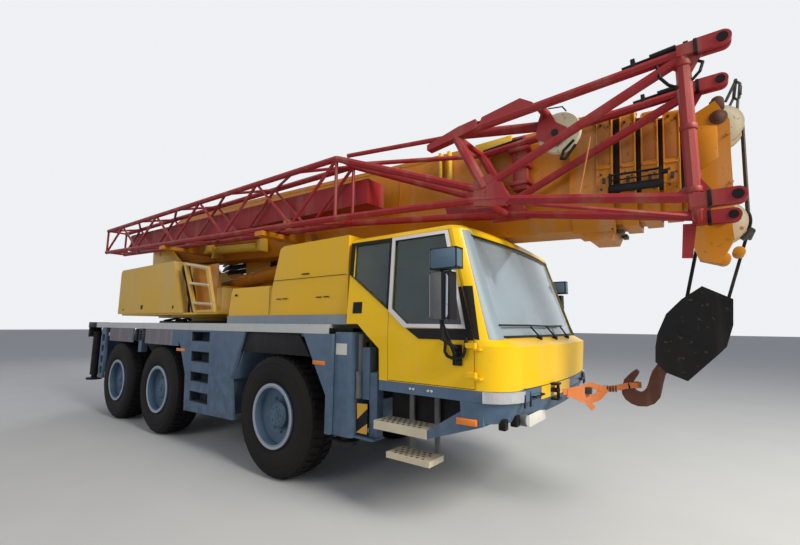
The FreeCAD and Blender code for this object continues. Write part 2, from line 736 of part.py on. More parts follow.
def make_turntable():
    plate_top = turntable_bottom_z + turntable_plate
    base = bar(V(slew_x, 0, turntable_bottom_z), V(slew_x, 0, plate_top), 900)
    platform = block((-5250, -1620), (-430, 430), (turntable_bottom_z, plate_top))
    spigot = bar(V(slew_x, 0, deck_top_z + 45 - slew_spigot_depth), V(slew_x, 0, turntable_bottom_z + 1),
                 slew_spigot_radius)
    cheek_y = (cheek_inner_y, cheek_inner_y + cheek_thickness)
    sides = pair(slab_xz(cheek, cheek_y))
    shelf = block((-5200, -1650), (cheek_y[1], side_outer_y - 60), (plate_top - 30, plate_top))
    shelf = joined(pair(shelf))
    back = block((-5250, -5200), (-cheek_y[0], cheek_y[0]), (plate_top, 2760))
    frame = joined([base, platform, spigot, back, shelf] + sides)
    holes = [bar(V(foot_pin.x, -900, foot_pin.z), V(foot_pin.x, 900, foot_pin.z), foot_pin_radius + pin_fit),
             bar(V(luff_pivot.x, -900, luff_pivot.z), V(luff_pivot.x, 900, luff_pivot.z), 50 + pin_fit),
             bar(V(winch_centre.x, -900, winch_centre.z), V(winch_centre.x, 900, winch_centre.z), 45 + pin_fit)]
    limit = Part.makeCylinder(turntable_reach, side_top_z, V(slew_x, 0, 0))
    high = block((cheek[3][0] - 100, slew_x + turntable_reach), (-side_outer_y, side_outer_y),
                 (side_top_z, cheek[4][1] + 100))
    save("turntable_frame", cut(frame, holes).common(joined([limit, high])))


def edge_x(edge, z):
    """X at height z on the line through two (x, z) points."""
    (top_x, top_z), (low_x, low_z) = edge
    return top_x + (low_x - top_x) * (top_z - z) / (top_z - low_z)


def make_counterweight():
    shelf_z = turntable_bottom_z + turntable_plate
    outline = [(-5250, shelf_z), (-5250, 2740), (-5200, side_top_z), (-2978, side_top_z), (-2625, shelf_z)]
    right = slab_xz(outline, (-side_outer_y, -cheek_inner_y - cheek_thickness - 15))
    outline_left = [(-5250, shelf_z), (-5250, 2740), (-5200, side_top_z), (-3620, side_top_z), (-3620, shelf_z)]
    left = slab_xz(outline_left, (cheek_inner_y + cheek_thickness + 15, side_outer_y))
    # Ladder leaning forward: the stiles' outer edges, then each opening's heights at its two sides
    rear_edge = ((-2650, 2744), (-2190, shelf_z))
    front_edge = ((-1850, 2608), (-1575, shelf_z))
    panel = slab_xz([rear_edge[0], front_edge[0], front_edge[1], rear_edge[1]],
                    (-side_outer_y, -side_outer_y + 40))
    stile_width = 70
    for low_rear, low_front, high_front, high_rear in ((2405, 2343, 2560, 2680), (2088, 2057, 2298, 2360),
                                                       (1955, 1955, 2012, 2044)):
        corners = [(edge_x(rear_edge, low_rear) + stile_width, low_rear),
                   (edge_x(front_edge, low_front) - stile_width, low_front),
                   (edge_x(front_edge, high_front) - stile_width, high_front),
                   (edge_x(rear_edge, high_rear) + stile_width, high_rear)]
        panel = panel.cut(slab_xz(corners, (-side_outer_y - 5, -side_outer_y + 45)))
    box = block((-2560, -1750), (-side_outer_y + 200, -cheek_inner_y - cheek_thickness - 15), (shelf_z, 2300))
    floor = block((-2150, -1750), (-side_outer_y + 40, -side_outer_y + 200), (shelf_z, shelf_z + 28))
    save("counterweight", right, left, joined([panel, box, floor]))


def make_winch():
    c = winch_centre
    width = cheek_inner_y - 5
    drum = bar(V(c.x, -width + 40, c.z), V(c.x, width - 40, c.z), drum_radius)
    discs = [bar(V(c.x, y, c.z), V(c.x, y + 30, c.z), drum_flange_radius) for y in (-width + 10, width - 40)]
    axle = bar(V(c.x, -cheek_inner_y - cheek_thickness, c.z), V(c.x, cheek_inner_y + cheek_thickness, c.z), 45)
    save("hoist_winch", joined([drum, axle] + discs))


operator_side = [(-3450, 1922), (-3450, 3200), (-3380, 3250), (-2000, 3250), (-1640, 2780), (-1620, 2080),
                 (-1760, 1922)]
operator_y = (440.0, 1215.0)
operator_wall = 40.0
operator_door_outline = [(-2720, 1980), (-1870, 1980), (-1870, 2960), (-2060, 3180), (-2720, 3180)]
operator_door_window = [(-2650, 2150), (-1930, 2150), (-1930, 2930), (-2080, 3110), (-2650, 3110)]
operator_front = [(500, 2150), (1155, 2150), (1155, 3130), (500, 3130)]
operator_inner_window = [(-2650, 2700), (-1950, 2700), (-1950, 2900), (-2090, 3120), (-2650, 3120)]


def make_operator_cab():
    outer = slab_xz(operator_side, operator_y)
    inner = slab_xz(shrunk(operator_side, operator_wall),
                    (operator_y[0] + operator_wall, operator_y[1] - operator_wall))
    doorway = slab_xz(operator_door_outline, (operator_y[1] - 60, operator_y[1] + 60))
    front = slab_yz(operator_front, (-2500, -1400))
    front = front.cut(slab_xz(shrunk(operator_side, operator_wall), (0, 2000)))
    inner_side = slab_xz(operator_inner_window, (operator_y[0] - 10, operator_y[0] + 60))
    seat = joined([block((-3300, -2700), (610, 1050), (1962, 2330)),
                   slab_xz([(-3300, 2330), (-3180, 2330), (-3230, 2960), (-3350, 2960)], (640, 1020))])
    shell = cut(outer, [inner, doorway, front, inner_side])
    save("operator_cab", shell, seat)
    glass = slab_xz(shrunk(operator_side, 15), operator_y).cut(slab_xz(shrunk(operator_side, 21), operator_y))
    pane = glass.common(slab_yz([(500.3, 2150.3), (1154.7, 2150.3), (1154.7, 3129.7), (500.3, 3129.7)],
                                (-2500, -1400)))
    side = slab_xz(shrunk(operator_inner_window, glass_fit), (operator_y[0] + 15, operator_y[0] + 21))
    save("operator_glass", pane, side)
    leaf = slab_xz(shrunk(operator_door_outline, -25), (operator_y[1] + glass_fit, operator_y[1] + 35))
    leaf = leaf.cut(slab_xz(operator_door_window, (operator_y[1] - 60, operator_y[1] + 60)))
    door_pane = slab_xz(shrunk(operator_door_window, glass_fit), (operator_y[1] + 14, operator_y[1] + 20))
    save("operator_door", leaf, door_pane)


# Luffing cylinder

def along_cylinder(distance):
    direction = luff_eye.sub(luff_pivot)
    direction.normalize()
    return luff_pivot.add(direction.multiply(distance))


def make_luff():
    pivot_width = cheek_inner_y - 8
    barrel = bar(along_cylinder(0), along_cylinder(barrel_length), barrel_radius)
    base = bar(V(luff_pivot.x, -170, luff_pivot.z), V(luff_pivot.x, 170, luff_pivot.z), barrel_radius)
    pin = bar(V(luff_pivot.x, -cheek_inner_y - cheek_thickness, luff_pivot.z),
              V(luff_pivot.x, cheek_inner_y + cheek_thickness, luff_pivot.z), 50)
    spacers = bar(V(luff_pivot.x, -pivot_width, luff_pivot.z), V(luff_pivot.x, pivot_width, luff_pivot.z), 75)
    bore = bar(along_cylinder(180), along_cylinder(barrel_length + 10), rod_radius + rod_fit)
    save("luff_barrel", joined([barrel, base, pin, spacers]).cut(bore))
    rod = bar(along_cylinder(200), luff_eye, rod_radius)
    eye = bar(V(luff_eye.x, -eye_width / 2, luff_eye.z), V(luff_eye.x, eye_width / 2, luff_eye.z), eye_radius)
    hole = bar(V(luff_eye.x, -200, luff_eye.z), V(luff_eye.x, 200, luff_eye.z), 45)
    save("luff_rod", joined([rod, eye]).cut(hole))


# Boom

def on_boom(shape):
    """Moves a shape from the boom's own frame to its place on the foot pin."""
    shape.rotate(V(0, 0, 0), V(0, 1, 0), boom_droop)
    shape.translate(foot_pin)
    return shape


def to_boom(point):
    """A point of the crane in the boom's own frame."""
    turn = FreeCAD.Rotation(V(0, 1, 0), -boom_droop)
    return turn.multVec(point.sub(foot_pin))


def boom_profile(inset):
    """Six-sided section of (across, up) points, narrower at the bottom."""
    half = boom_half_width - inset
    low = boom_bottom + inset
    high = boom_top - inset
    chine = low + (boom_top - boom_bottom) * 0.26
    return [(-half, high), (half, high), (half, chine), (half * 0.6, low), (-half * 0.6, low), (-half, chine)]


def boom_tube(inset, wall, start, end):
    outer = slab_yz(boom_profile(inset), (start, end))
    return outer.cut(slab_yz(boom_profile(inset + wall), (start - 1, end + 1)))


# Each telescopic section's collar beyond the base as (start, end along the boom, rise above the section)
collars = [(9070.0, 9190.0, 22.0), (9230.0, 9355.0, 20.0), (9390.0, 9510.0, 18.0)]
head_start = 9570.0
head_end = 9860.0
sheave_radius = 172.0
upper_sheave = V(front_end_x - sheave_radius, 0, 3455.0)
lower_sheave = V(4250.0, 0, 2625.0)
sheave_pin_radius = 35.0


def make_boom_base():
    side = [(-290, -150), (-290, 300), (-120, 480), (900, boom_top), (boom_length, boom_top),
            (boom_length, boom_bottom), (260, boom_bottom), (-60, boom_bottom + 24)]
    body = slab_xz(side, (-boom_half_width, boom_half_width))
    profile = slab_yz(boom_profile(0), (-400, boom_length))
    body = body.common(profile)
    hollow = slab_yz(boom_profile(boom_wall), (section_tail - 150, boom_length + 1))
    bush = bar(V(0, -cheek_inner_y + 6, 0), V(0, cheek_inner_y - 6, 0), 110)
    pin = bar(V(0, -cheek_inner_y - cheek_thickness, 0), V(0, cheek_inner_y + cheek_thickness, 0), foot_pin_radius)
    collar = boom_tube(-collar_rise, collar_rise, boom_length - 360, boom_length)
    chin_z = boom_bottom - collar_rise
    chin = slab_xz([(boom_length - 300, chin_z), (boom_length - 220, chin_z - 76), (boom_length - 30, chin_z - 76),
                    (boom_length, chin_z)], (-210, 210))
    eye = to_boom(luff_eye)
    ear_inner = eye_width / 2 + ear_clearance
    ears = []
    for y in ((ear_inner, ear_inner + 40), (-ear_inner - 40, -ear_inner)):
        ears.append(slab_xz([(eye.x - 330, boom_bottom), (eye.x - 90, eye.z - 90), (eye.x + 90, eye.z - 90),
                             (eye.x + 330, boom_bottom)], y))
    tube = joined([joined([body, bush, pin]).cut(hollow), mouth_pad(0)])
    shapes = [on_boom(shape) for shape in [tube, collar, chin] + ears]
    outside = on_boom(profile)
    arms = [shape.cut(outside) for shape in jib_bracket_arms()]
    save("boom_base", *shapes, *arms)


def section_start(number):
    """The tail of each telescopic section lies a little ahead of the one round it."""
    return section_tail + tail_step * number


def section_end(number):
    if number == 0:
        return boom_length
    return collars[number - 1][1] if number < 4 else head_end


def tube_wall(number):
    return boom_wall if number == 0 else section_wall


def mouth_pad(number):
    """Slide pad inside a section's mouth, up to the face of the next section."""
    end = section_end(number)
    start_inset = number * section_step + tube_wall(number) - 1
    next_face = (number + 1) * section_step - pad_fit
    return boom_tube(start_inset, next_face - start_inset, end - pad_length - 20, end - 20)


def make_sections():
    for number in (1, 2, 3, 4):
        inset = number * section_step
        start = section_start(number)
        tube = boom_tube(inset, section_wall, start, section_end(number) if number < 4 else head_start)
        outer_face = (number - 1) * section_step + tube_wall(number - 1) + pad_fit
        tail_pad = boom_tube(outer_face, inset - outer_face + 2, start, start + pad_length)
        pieces = [tube, tail_pad]
        if number < 4:
            low, high, rise = collars[number - 1]
            ring = slab_yz(boom_profile(inset - rise), (low, high))
            pieces.append(ring.cut(slab_yz(boom_profile(inset + section_wall), (low - 1, high + 1))))
            pieces.append(mouth_pad(number))
            save("boom_section_" + str(number), on_boom(joined(pieces)))
        else:
            save("boom_section_" + str(number), on_boom(joined(pieces)), on_boom(joined(boom_head(inset))))


def boom_head(inset):
    """Closing plate, cheeks, sheave carriers and the lower casting at the boom's end."""
    up = to_boom(upper_sheave)
    low = to_boom(lower_sheave)
    half = boom_half_width - inset + 20
    cap = slab_yz(boom_profile(inset - 18), (head_start, head_start + 60))
    cheeks = []
    outline = [(head_start + 50, boom_top - 110), (up.x - 20, boom_top - 40), (up.x + 70, up.z - 40),
               (head_end - 20, 300), (low.x + 80, low.z + 60), (low.x + 60, low.z - 90), (low.x - 120, low.z - 150),
               (head_start + 50, -130)]
    for y in (-half, -60, 30, half - 30):
        cheeks.append(slab_xz(outline, (y, y + 30)))
    cross = block((head_start + 50, head_start + 110), (-half, half), (-130, boom_top - 112))
    casting = slab_xz([(low.x - 240, low.z - 60), (low.x - 150, low.z - 330), (low.x - 20, low.z - 370),
                       (low.x + 70, low.z - 180), (low.x + 60, low.z - 40), (low.x - 120, low.z + 20)], (-half, -60))
    pins = [bar(V(up.x, -half, up.z), V(up.x, half, up.z), sheave_pin_radius),
            bar(V(low.x, -half, low.z), V(low.x, half, low.z), sheave_pin_radius)]
    wheels = []
    for centre in (up, low):
        wheels.append(bar(V(centre.x, 80, centre.z), V(centre.x, 130, centre.z), sheave_radius))
        wheels.append(bar(V(centre.x, -50, centre.z), V(centre.x, -10, centre.z), sheave_radius))
    return [cap, cross, casting] + cheeks + pins + wheels


# Hook block and hook

block_points = [(4084, 2091), (4273, 1980), (4258, 1779), (4206, 1610), (4163, 1561), (3940, 1326), (3794, 1384),
                (3724, 1466), (3732, 1594), (3754, 1703), (3825, 1868), (3941, 1990)]
hook_outline = [(3558, 1383), (3516, 1349), (3462, 1289), (3436, 1201), (3439, 1157), (3462, 1114), (3506, 1081),
                (3560, 1065), (3628, 1071), (3687, 1102), (3728, 1155), (3744, 1221), (3753, 1265), (3776, 1345),
                (3830, 1440), (3740, 1460), (3685, 1379), (3663, 1322), (3650, 1277), (3633, 1232), (3607, 1196),
                (3577, 1185), (3547, 1196), (3529, 1222), (3526, 1266), (3565, 1325), (3581, 1360)]
hook_half_thickness = 36.0
rope_lines = (95.0, -30.0)
rope_radius = 11.0
rope_fit = 0.3
wrap_radius = sheave_radius + rope_radius + rope_fit
rope_lead = math.radians(17)


def make_hook():
    core = slab_xz(block_points, (-60, 110))
    cheek_plates = [slab_xz(block_points, (y, y + 25)) for y in (-165, 140)]
    axle = bar(V(3960, -170, 1740), V(3960, 170, 1740), 50)
    ropes = []
    for y in rope_lines:
        ropes.append(strut(V(3960, y, 1960), V(4070, y, 2435), rope_radius, 8))
        lead = V(lower_sheave.x + wrap_radius * math.cos(rope_lead), y,
                 lower_sheave.z - wrap_radius * math.sin(rope_lead))
        ropes.append(strut(V(4215, y, 1880), lead, rope_radius, 8))
        front = block((lower_sheave.x + 0.8 * sheave_radius, lower_sheave.x + 2 * sheave_radius), (y - 20, y + 20),
                      (lower_sheave.z - 0.35 * sheave_radius, lower_sheave.z + 0.35 * sheave_radius))
        wrap = ring(V(lower_sheave.x, y, lower_sheave.z), V(0, 1, 0), wrap_radius, rope_radius)
        ropes.append(wrap.common(front))
    block_solid = joined([core, axle] + cheek_plates + ropes)
    save("hook_block", block_solid)
    hook = slab_xz(hook_outline, (-hook_half_thickness, hook_half_thickness))
    save("hook", hook.cut(block_solid))


# Lattice jib, stowed on the right of the boom

# Nodes of the rear lattice as (x, y outer, y inner, z low, z high)
lattice_ends = [(-6200.0, -1200.0, -860.0, 3260.0, 3730.0), (820.0, -1140.0, -860.0, 2945.0, 3650.0)]
lattice_bays = 9
chord_radius = 38.0
lace_radius = 20.0
jib_gusset = {"x": 2560.0, "outer": -1030.0, "inner": -450.0, "low": 2870.0, "high": 2960.0}
jib_lugs = {"x": 4240.0, "pin": 4310.0, "outer": -1000.0, "inner": -430.0, "low": 2585.0, "high": 3650.0}
jib_post_x = 4090.0
lug_pin_radius = 25.0
lug_radius = 50.0


def between(start, end, share):
    return start.add(end.sub(start).multiply(share))


def make_jib():
    (tail_x, tail_out, tail_in, tail_low, tail_high), (apex_x, apex_out, apex_in, apex_low, apex_high) = lattice_ends
    chords = {
        "outer_low": (V(tail_x, tail_out, tail_low), V(apex_x, apex_out, apex_low)),
        "outer_high": (V(tail_x, tail_out, tail_high), V(apex_x, apex_out, apex_high)),
        "inner_low": (V(tail_x, tail_in, tail_low), V(apex_x, apex_in, apex_low)),
        "inner_high": (V(tail_x, tail_in, tail_high), V(apex_x, apex_in, apex_high))}
    pieces = [strut(start, end, chord_radius, 8) for start, end in chords.values()]
    faces = [("outer_low", "outer_high"), ("inner_low", "inner_high"), ("outer_low", "inner_low"),
             ("outer_high", "inner_high")]
    for first, second in faces:
        ladder = [strut(between(*chords[first], 0), between(*chords[second], 0), lace_radius),
                  strut(between(*chords[first], 1), between(*chords[second], 1), lace_radius)]
        for bay in range(lattice_bays):
            near, far = (first, second) if bay % 2 == 0 else (second, first)
            start = between(*chords[near], bay / lattice_bays)
            end = between(*chords[far], (bay + 1) / lattice_bays)
            ladder.append(strut(start, end, lace_radius))
        pieces += ladder
    g = jib_gusset
    k = jib_lugs
    for side in ("outer", "inner"):
        apex_y = apex_out if side == "outer" else apex_in
        gusset_low = V(g["x"], g[side], g["low"])
        gusset_high = V(g["x"], g[side], g["high"])
        lug_low = V(k["x"], k[side], k["low"])
        lug_high = V(k["x"], k[side], k["high"])
        pieces.append(strut(V(apex_x, apex_y, apex_low), gusset_low, chord_radius, 8))
        pieces.append(strut(V(apex_x, apex_y, apex_high), gusset_high, chord_radius, 8))
        pieces.append(strut(gusset_low, lug_low, chord_radius, 8))
        pieces.append(strut(gusset_high, V(jib_post_x, k[side], k["high"] - 40), chord_radius, 8))
        kink = V(2300, k[side], 3557)
        pieces.append(strut(lug_high, kink, chord_radius, 8))
        pieces.append(strut(kink, V(g["x"] + 50, g[side], g["high"]), chord_radius + 10, 8))
        pieces.append(strut(kink, V(1000, apex_y, 3640), 25, 8))
        pieces.append(strut(V(jib_post_x, k[side], k["low"] + 20), V(jib_post_x, k[side], k["high"]), 45, 8))
        plate = slab_xz([(g["x"] - 140, g["low"] - 70), (g["x"] + 180, g["low"] - 80), (g["x"] + 190, g["high"] + 60),
                         (g["x"] - 110, g["high"] + 60)], (g[side] - 15, g[side] + 15))
        pieces.append(plate)
        for level in ("low", "high"):
            for offset in (-45, 15):
                fork = block((k["x"] - 70, k["pin"]), (k[side] + offset, k[side] + offset + 30),
                             (k[level] - lug_radius, k[level] + lug_radius))
                nose = bar(V(k["pin"], k[side] + offset, k[level]),
                           V(k["pin"], k[side] + offset + 30, k[level]), lug_radius)
                pieces += [fork, nose]
            pieces.append(block((k["x"] - 180, k["x"] - 60), (k[side] - 45, k[side] + 45),
                                (k[level] - lug_radius + 8, k[level] + lug_radius - 8)))
    for level in ("low", "high"):
        z = g[level]
        pieces.append(strut(V(g["x"] + 7, g["outer"], z), V(g["x"] + 7, g["inner"], z), 30, 8))
        pieces.append(strut(V(jib_post_x + 6, k["outer"], k[level] - 10),
                            V(jib_post_x + 6, k["inner"], k[level] - 10), 32, 8))
    pieces.append(strut(V(2300, k["outer"], 3557), V(2300, k["inner"], 3557), 30, 8))
    pieces.append(strut(V(g["x"], g["outer"], g["low"]), V(jib_post_x, k["inner"], k["low"] + 20), lace_radius))
    holes = []
    for level in ("low", "high"):
        z = k[level]
        holes.append(bar(V(k["pin"], k["outer"] - 100, z), V(k["pin"], k["inner"] + 100, z), lug_pin_radius))
    save("jib_lattice", cut(joined(pieces), holes))


# Box-shaped extension inside the lattice as (x, z low, z high) at each end
extension_ends = [(-6100.0, 3330.0, 3690.0), (1000.0, 3180.0, 3480.0)]
extension_y = (-800.0, -500.0)
seat_fit = 0.3
# Brackets that carry the jib as (x, width along the boom)
jib_brackets = [(-3500.0, 160.0), (-600.0, 160.0)]


def lattice_low_z(x):
    (tail_x, _, _, tail_low, _), (apex_x, _, _, apex_low, _) = lattice_ends
    return tail_low + (apex_low - tail_low) * (x - tail_x) / (apex_x - tail_x)


def extension_low_z(x):
    (tail_x, tail_low, _), (head_x, head_low, _) = extension_ends
    return tail_low + (head_low - tail_low) * (x - tail_x) / (head_x - tail_x)


def make_jib_extension():
    (tail_x, tail_low, tail_high), (head_x, head_low, head_high) = extension_ends
    outline = [(tail_x, tail_low), (tail_x, tail_high), (head_x, head_high), (head_x, head_low)]
    save("jib_extension", slab_xz(outline, extension_y))


def jib_bracket_arms():
    brackets = []
    for x, width in jib_brackets:
        under = lattice_low_z(x + width) - chord_radius * 1.001 - seat_fit
        arm = block((x, x + width), (-1230, -boom_half_width + 110), (under - 60, under))
        post_top = extension_low_z(x + width) - seat_fit
        post = block((x, x + width), (extension_y[0] + 10, extension_y[1] - 10), (under, post_top))
        brackets += [arm, post]
    return brackets


def main():
    os.makedirs("parts", exist_ok=True)
    make_wheels()
    make_axles()
    make_outriggers()
    make_chassis()
    make_deck()
    make_side_panels()
    make_rear()
    make_cab()
    make_cab_inside()
    make_front()
    make_mirrors()
    make_engine()
    make_turntable()
    make_counterweight()
    make_winch()
    make_operator_cab()
    make_luff()
    make_boom_base()
    make_sections()
    make_hook()
    make_jib()
    make_jib_extension()


main()
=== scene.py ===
"""A three-axle mobile crane in road trim: finishes, glass, lamps, rigging and trim over its CAD frame."""

import math

import bmesh
import bpy
from mathutils import Matrix, Vector


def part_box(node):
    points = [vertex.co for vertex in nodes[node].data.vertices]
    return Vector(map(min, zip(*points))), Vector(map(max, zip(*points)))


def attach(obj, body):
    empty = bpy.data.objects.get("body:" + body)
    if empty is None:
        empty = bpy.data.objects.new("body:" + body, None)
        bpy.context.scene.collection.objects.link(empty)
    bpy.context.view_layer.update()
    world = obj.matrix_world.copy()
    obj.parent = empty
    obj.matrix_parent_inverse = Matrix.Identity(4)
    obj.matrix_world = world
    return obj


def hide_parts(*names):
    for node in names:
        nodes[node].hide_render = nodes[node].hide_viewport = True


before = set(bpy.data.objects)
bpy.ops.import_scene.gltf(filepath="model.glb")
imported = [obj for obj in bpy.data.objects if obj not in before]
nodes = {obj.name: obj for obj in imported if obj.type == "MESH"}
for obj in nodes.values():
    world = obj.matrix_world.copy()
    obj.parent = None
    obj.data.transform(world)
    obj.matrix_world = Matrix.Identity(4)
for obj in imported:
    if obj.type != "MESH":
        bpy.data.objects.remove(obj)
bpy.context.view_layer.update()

OUT = {"left": 1, "right": -1}
MERGE_DISTANCE = 1e-5
AXLES = (1, 2, 3)


# Shader helpers

def add_node(tree, kind, inputs=(), **settings):
    """A shader node with its settings, and its inputs set or linked by name or number."""
    node = tree.nodes.new("ShaderNode" + kind)
    for name, value in settings.items():
        setattr(node, name, value)
    for name, value in dict(inputs).items():
        if isinstance(value, bpy.types.NodeSocket):
            tree.links.new(value, node.inputs[name])
        else:
            node.inputs[name].default_value = value
    return node


def multiply(tree, first, second):
    return add_node(tree, "Math", {0: first, 1: second}, operation="MULTIPLY").outputs[0]


def add(tree, first, second):
    return add_node(tree, "Math", {0: first, 1: second}, operation="ADD", use_clamp=True).outputs[0]


def ramp(tree, value, low, high, start=0.0, end=1.0):
    """value between low and high, as a number from start to end."""
    inputs = {"Value": value, "From Min": low, "From Max": high, "To Min": start, "To Max": end}
    return add_node(tree, "MapRange", inputs).outputs[0]


def mixed(tree, factor, first, second):
    return add_node(tree, "Mix", {0: factor, 6: first, 7: second}, data_type="RGBA").outputs[2]


def noise(tree, scale, detail=4.0, stretch=(1, 1, 1)):
    """Noise over the crane's own coordinates, in metres."""
    place = add_node(tree, "TexCoord").outputs["Object"]
    if stretch != (1, 1, 1):
        place = add_node(tree, "Mapping", {"Vector": place, "Scale": stretch}).outputs[0]
    return add_node(tree, "TexNoise", {"Vector": place, "Scale": scale, "Detail": detail}).outputs[0]


def start_group(name, inputs, outputs):
    """A shader group with its sockets as (name, kind, default)."""
    group = bpy.data.node_groups.new(name, "ShaderNodeTree")
    for title, kind, default in inputs:
        socket = group.interface.new_socket(title, in_out="INPUT", socket_type="NodeSocket" + kind)
        socket.default_value = default
    for title, kind in outputs:
        group.interface.new_socket(title, in_out="OUTPUT", socket_type="NodeSocket" + kind)
    return group, group.nodes.new("NodeGroupInput").outputs, group.nodes.new("NodeGroupOutput")


def build_weathering():
    """Paint that fades in patches, gathers dust low down and on top, runs in streaks and chips; where the
    dust colour is darker than the paint, as on the carrier, it is painted shade towards the bottom.
    """
    colours = [(title, "Color", (0.5, 0.5, 0.5, 1)) for title in ("Paint", "Faded", "Dust And Shade", "Bare")]
    amounts = [(title, "Float", 0.5) for title in ("Fade", "Dust And Shade Amount", "Streaks", "Chips", "Gloss")]
    group, given, result = start_group("weathering", colours + amounts,
                                       [("Colour", "Color"), ("Roughness", "Float"), ("Height", "Float")])
    patches = ramp(group, noise(group, 0.9, 5), 0.36, 0.66)
    colour = mixed(group, multiply(group, patches, given["Fade"]), given["Paint"], given["Faded"])
    runs = ramp(group, noise(group, 5.5, 5, (1, 1, 0.09)), 0.52, 0.72)
    colour = mixed(group, multiply(group, runs, given["Streaks"]), colour, given["Dust And Shade"])
    height = add_node(group, "SeparateXYZ", {0: add_node(group, "TexCoord").outputs["Object"]}).outputs["Z"]
    low_down = ramp(group, height, 1.9, 0.3, 0.12, 1.0)
    upward = add_node(group, "SeparateXYZ", {0: add_node(group,
                                                         "NewGeometry").outputs["Normal"]}).outputs["Z"]
    on_top = ramp(group, upward, 0.6, 1.0, 0.0, 0.7)
    speckled = ramp(group, noise(group, 9.0, 8), 0.3, 0.75)
    dust_and_shade = multiply(group, multiply(group, add(group, low_down, on_top), speckled), given["Dust And Shade Amount"])
    colour = mixed(group, dust_and_shade, colour, given["Dust And Shade"])
    flakes = ramp(group, noise(group, 26.0, 7), 0.655, 0.675)
    chips = multiply(group, flakes, given["Chips"])
    colour = mixed(group, chips, colour, given["Bare"])
    group.links.new(colour, result.inputs["Colour"])
    rough = add(group, given["Gloss"], multiply(group, add(group, dust_and_shade, chips), 0.45))
    group.links.new(rough, result.inputs["Roughness"])
    orange_peel = multiply(group, noise(group, 60.0, 2), 0.25)
    group.links.new(add(group, orange_peel, multiply(group, chips, -0.5)), result.inputs["Height"])
    return group


weathering = build_weathering()


def new_material(name, **sockets):
    """A material with one Principled shader; plain values are set by socket name."""
    material = bpy.data.materials.new(name)
    material.use_nodes = True
    shader = material.node_tree.nodes["Principled BSDF"]
    for title, value in sockets.items():
        shader.inputs[title.replace("_", " ").title().replace("Ior", "IOR")].default_value = value
    return material, material.node_tree, shader


def painted(name, paint, faded, fade, dust_and_shade_amount, streaks, chips, gloss, dust_and_shade=(0.42, 0.37, 0.30),
            bare=(0.10, 0.07, 0.05), bump=0.12, metallic=0.0, skirt=None, shine=0.28):
    """Weathered paint; skirt is the paint and faded paint below a height, as (paint, faded, height)."""
    material, tree, shader = new_material(name, metallic=metallic, specular_ior_level=shine)
    values = {"Paint": (*paint, 1), "Faded": (*faded, 1), "Dust And Shade": (*dust_and_shade, 1), "Bare": (*bare, 1),
              "Fade": fade,
              "Dust And Shade Amount": dust_and_shade_amount, "Streaks": streaks, "Chips": chips, "Gloss": gloss}
    worn = tree.nodes.new("ShaderNodeGroup")
    worn.node_tree = weathering
    for title, value in values.items():
        worn.inputs[title].default_value = value
    if skirt:
        place = add_node(tree, "TexCoord").outputs["Object"]
        height = add_node(tree, "SeparateXYZ", {0: place}).outputs["Z"]
        above = ramp(tree, height, skirt[2] - 0.001, skirt[2] + 0.001)
        for title, lower in (("Paint", skirt[0]), ("Faded", skirt[1])):
            tree.links.new(mixed(tree, above, (*lower, 1), values[title]), worn.inputs[title])
    relief = add_node(tree, "Bump", {"Height": worn.outputs["Height"], "Strength": bump, "Distance": 0.004})
    tree.links.new(worn.outputs["Colour"], shader.inputs["Base Color"])
    tree.links.new(worn.outputs["Roughness"], shader.inputs["Roughness"])
    tree.links.new(relief.outputs[0], shader.inputs["Normal"])
    return material


def lens(name, colour, roughness=0.12, transmission=0.0):
    """A moulded lens with fine flutes."""
    material, tree, shader = new_material(name, transmission_weight=transmission, ior=1.45)
    mottled = mixed(tree, noise(tree, 14.0), (*colour, 1), (*[0.8 * part for part in colour], 1))
    tree.links.new(mottled, shader.inputs["Base Color"])
    flutes = noise(tree, 90.0, 0, (1, 1, 0.05))
    tree.links.new(ramp(tree, flutes, 0.3, 0.7, roughness, roughness + 0.15), shader.inputs["Roughness"])
    relief = add_node(tree, "Bump", {"Height": flutes, "Strength": 0.3, "Distance": 0.002})
    tree.links.new(relief.outputs[0], shader.inputs["Normal"])
    return material


def pane(name, tint_and_reflection, dirt=(0.45, 0.44, 0.40), clear=0.85):
    """Glass in a colour, which is its tint and for the windscreen also a painted sky reflection, with a film
    of dust.
    """
    material, tree, shader = new_material(name, transmission_weight=clear, ior=1.45)
    film = ramp(tree, noise(tree, 3.0, 6), 0.42, 0.75, 0.0, 0.28)
    tree.links.new(mixed(tree, film, (*tint_and_reflection, 1), (*dirt, 1)), shader.inputs["Base Color"])
    tree.links.new(ramp(tree, film, 0.0, 0.3, 0.03, 0.25), shader.inputs["Roughness"])
    return material


CARRIER_BLUE = (0.080, 0.135, 0.215)
FADED_BLUE = (0.13, 0.175, 0.24)
# Heights where the lower band of the cab and of the engine cover ends
CAB_BAND_TOP = 1.242
COVER_BAND_TOP = 1.862
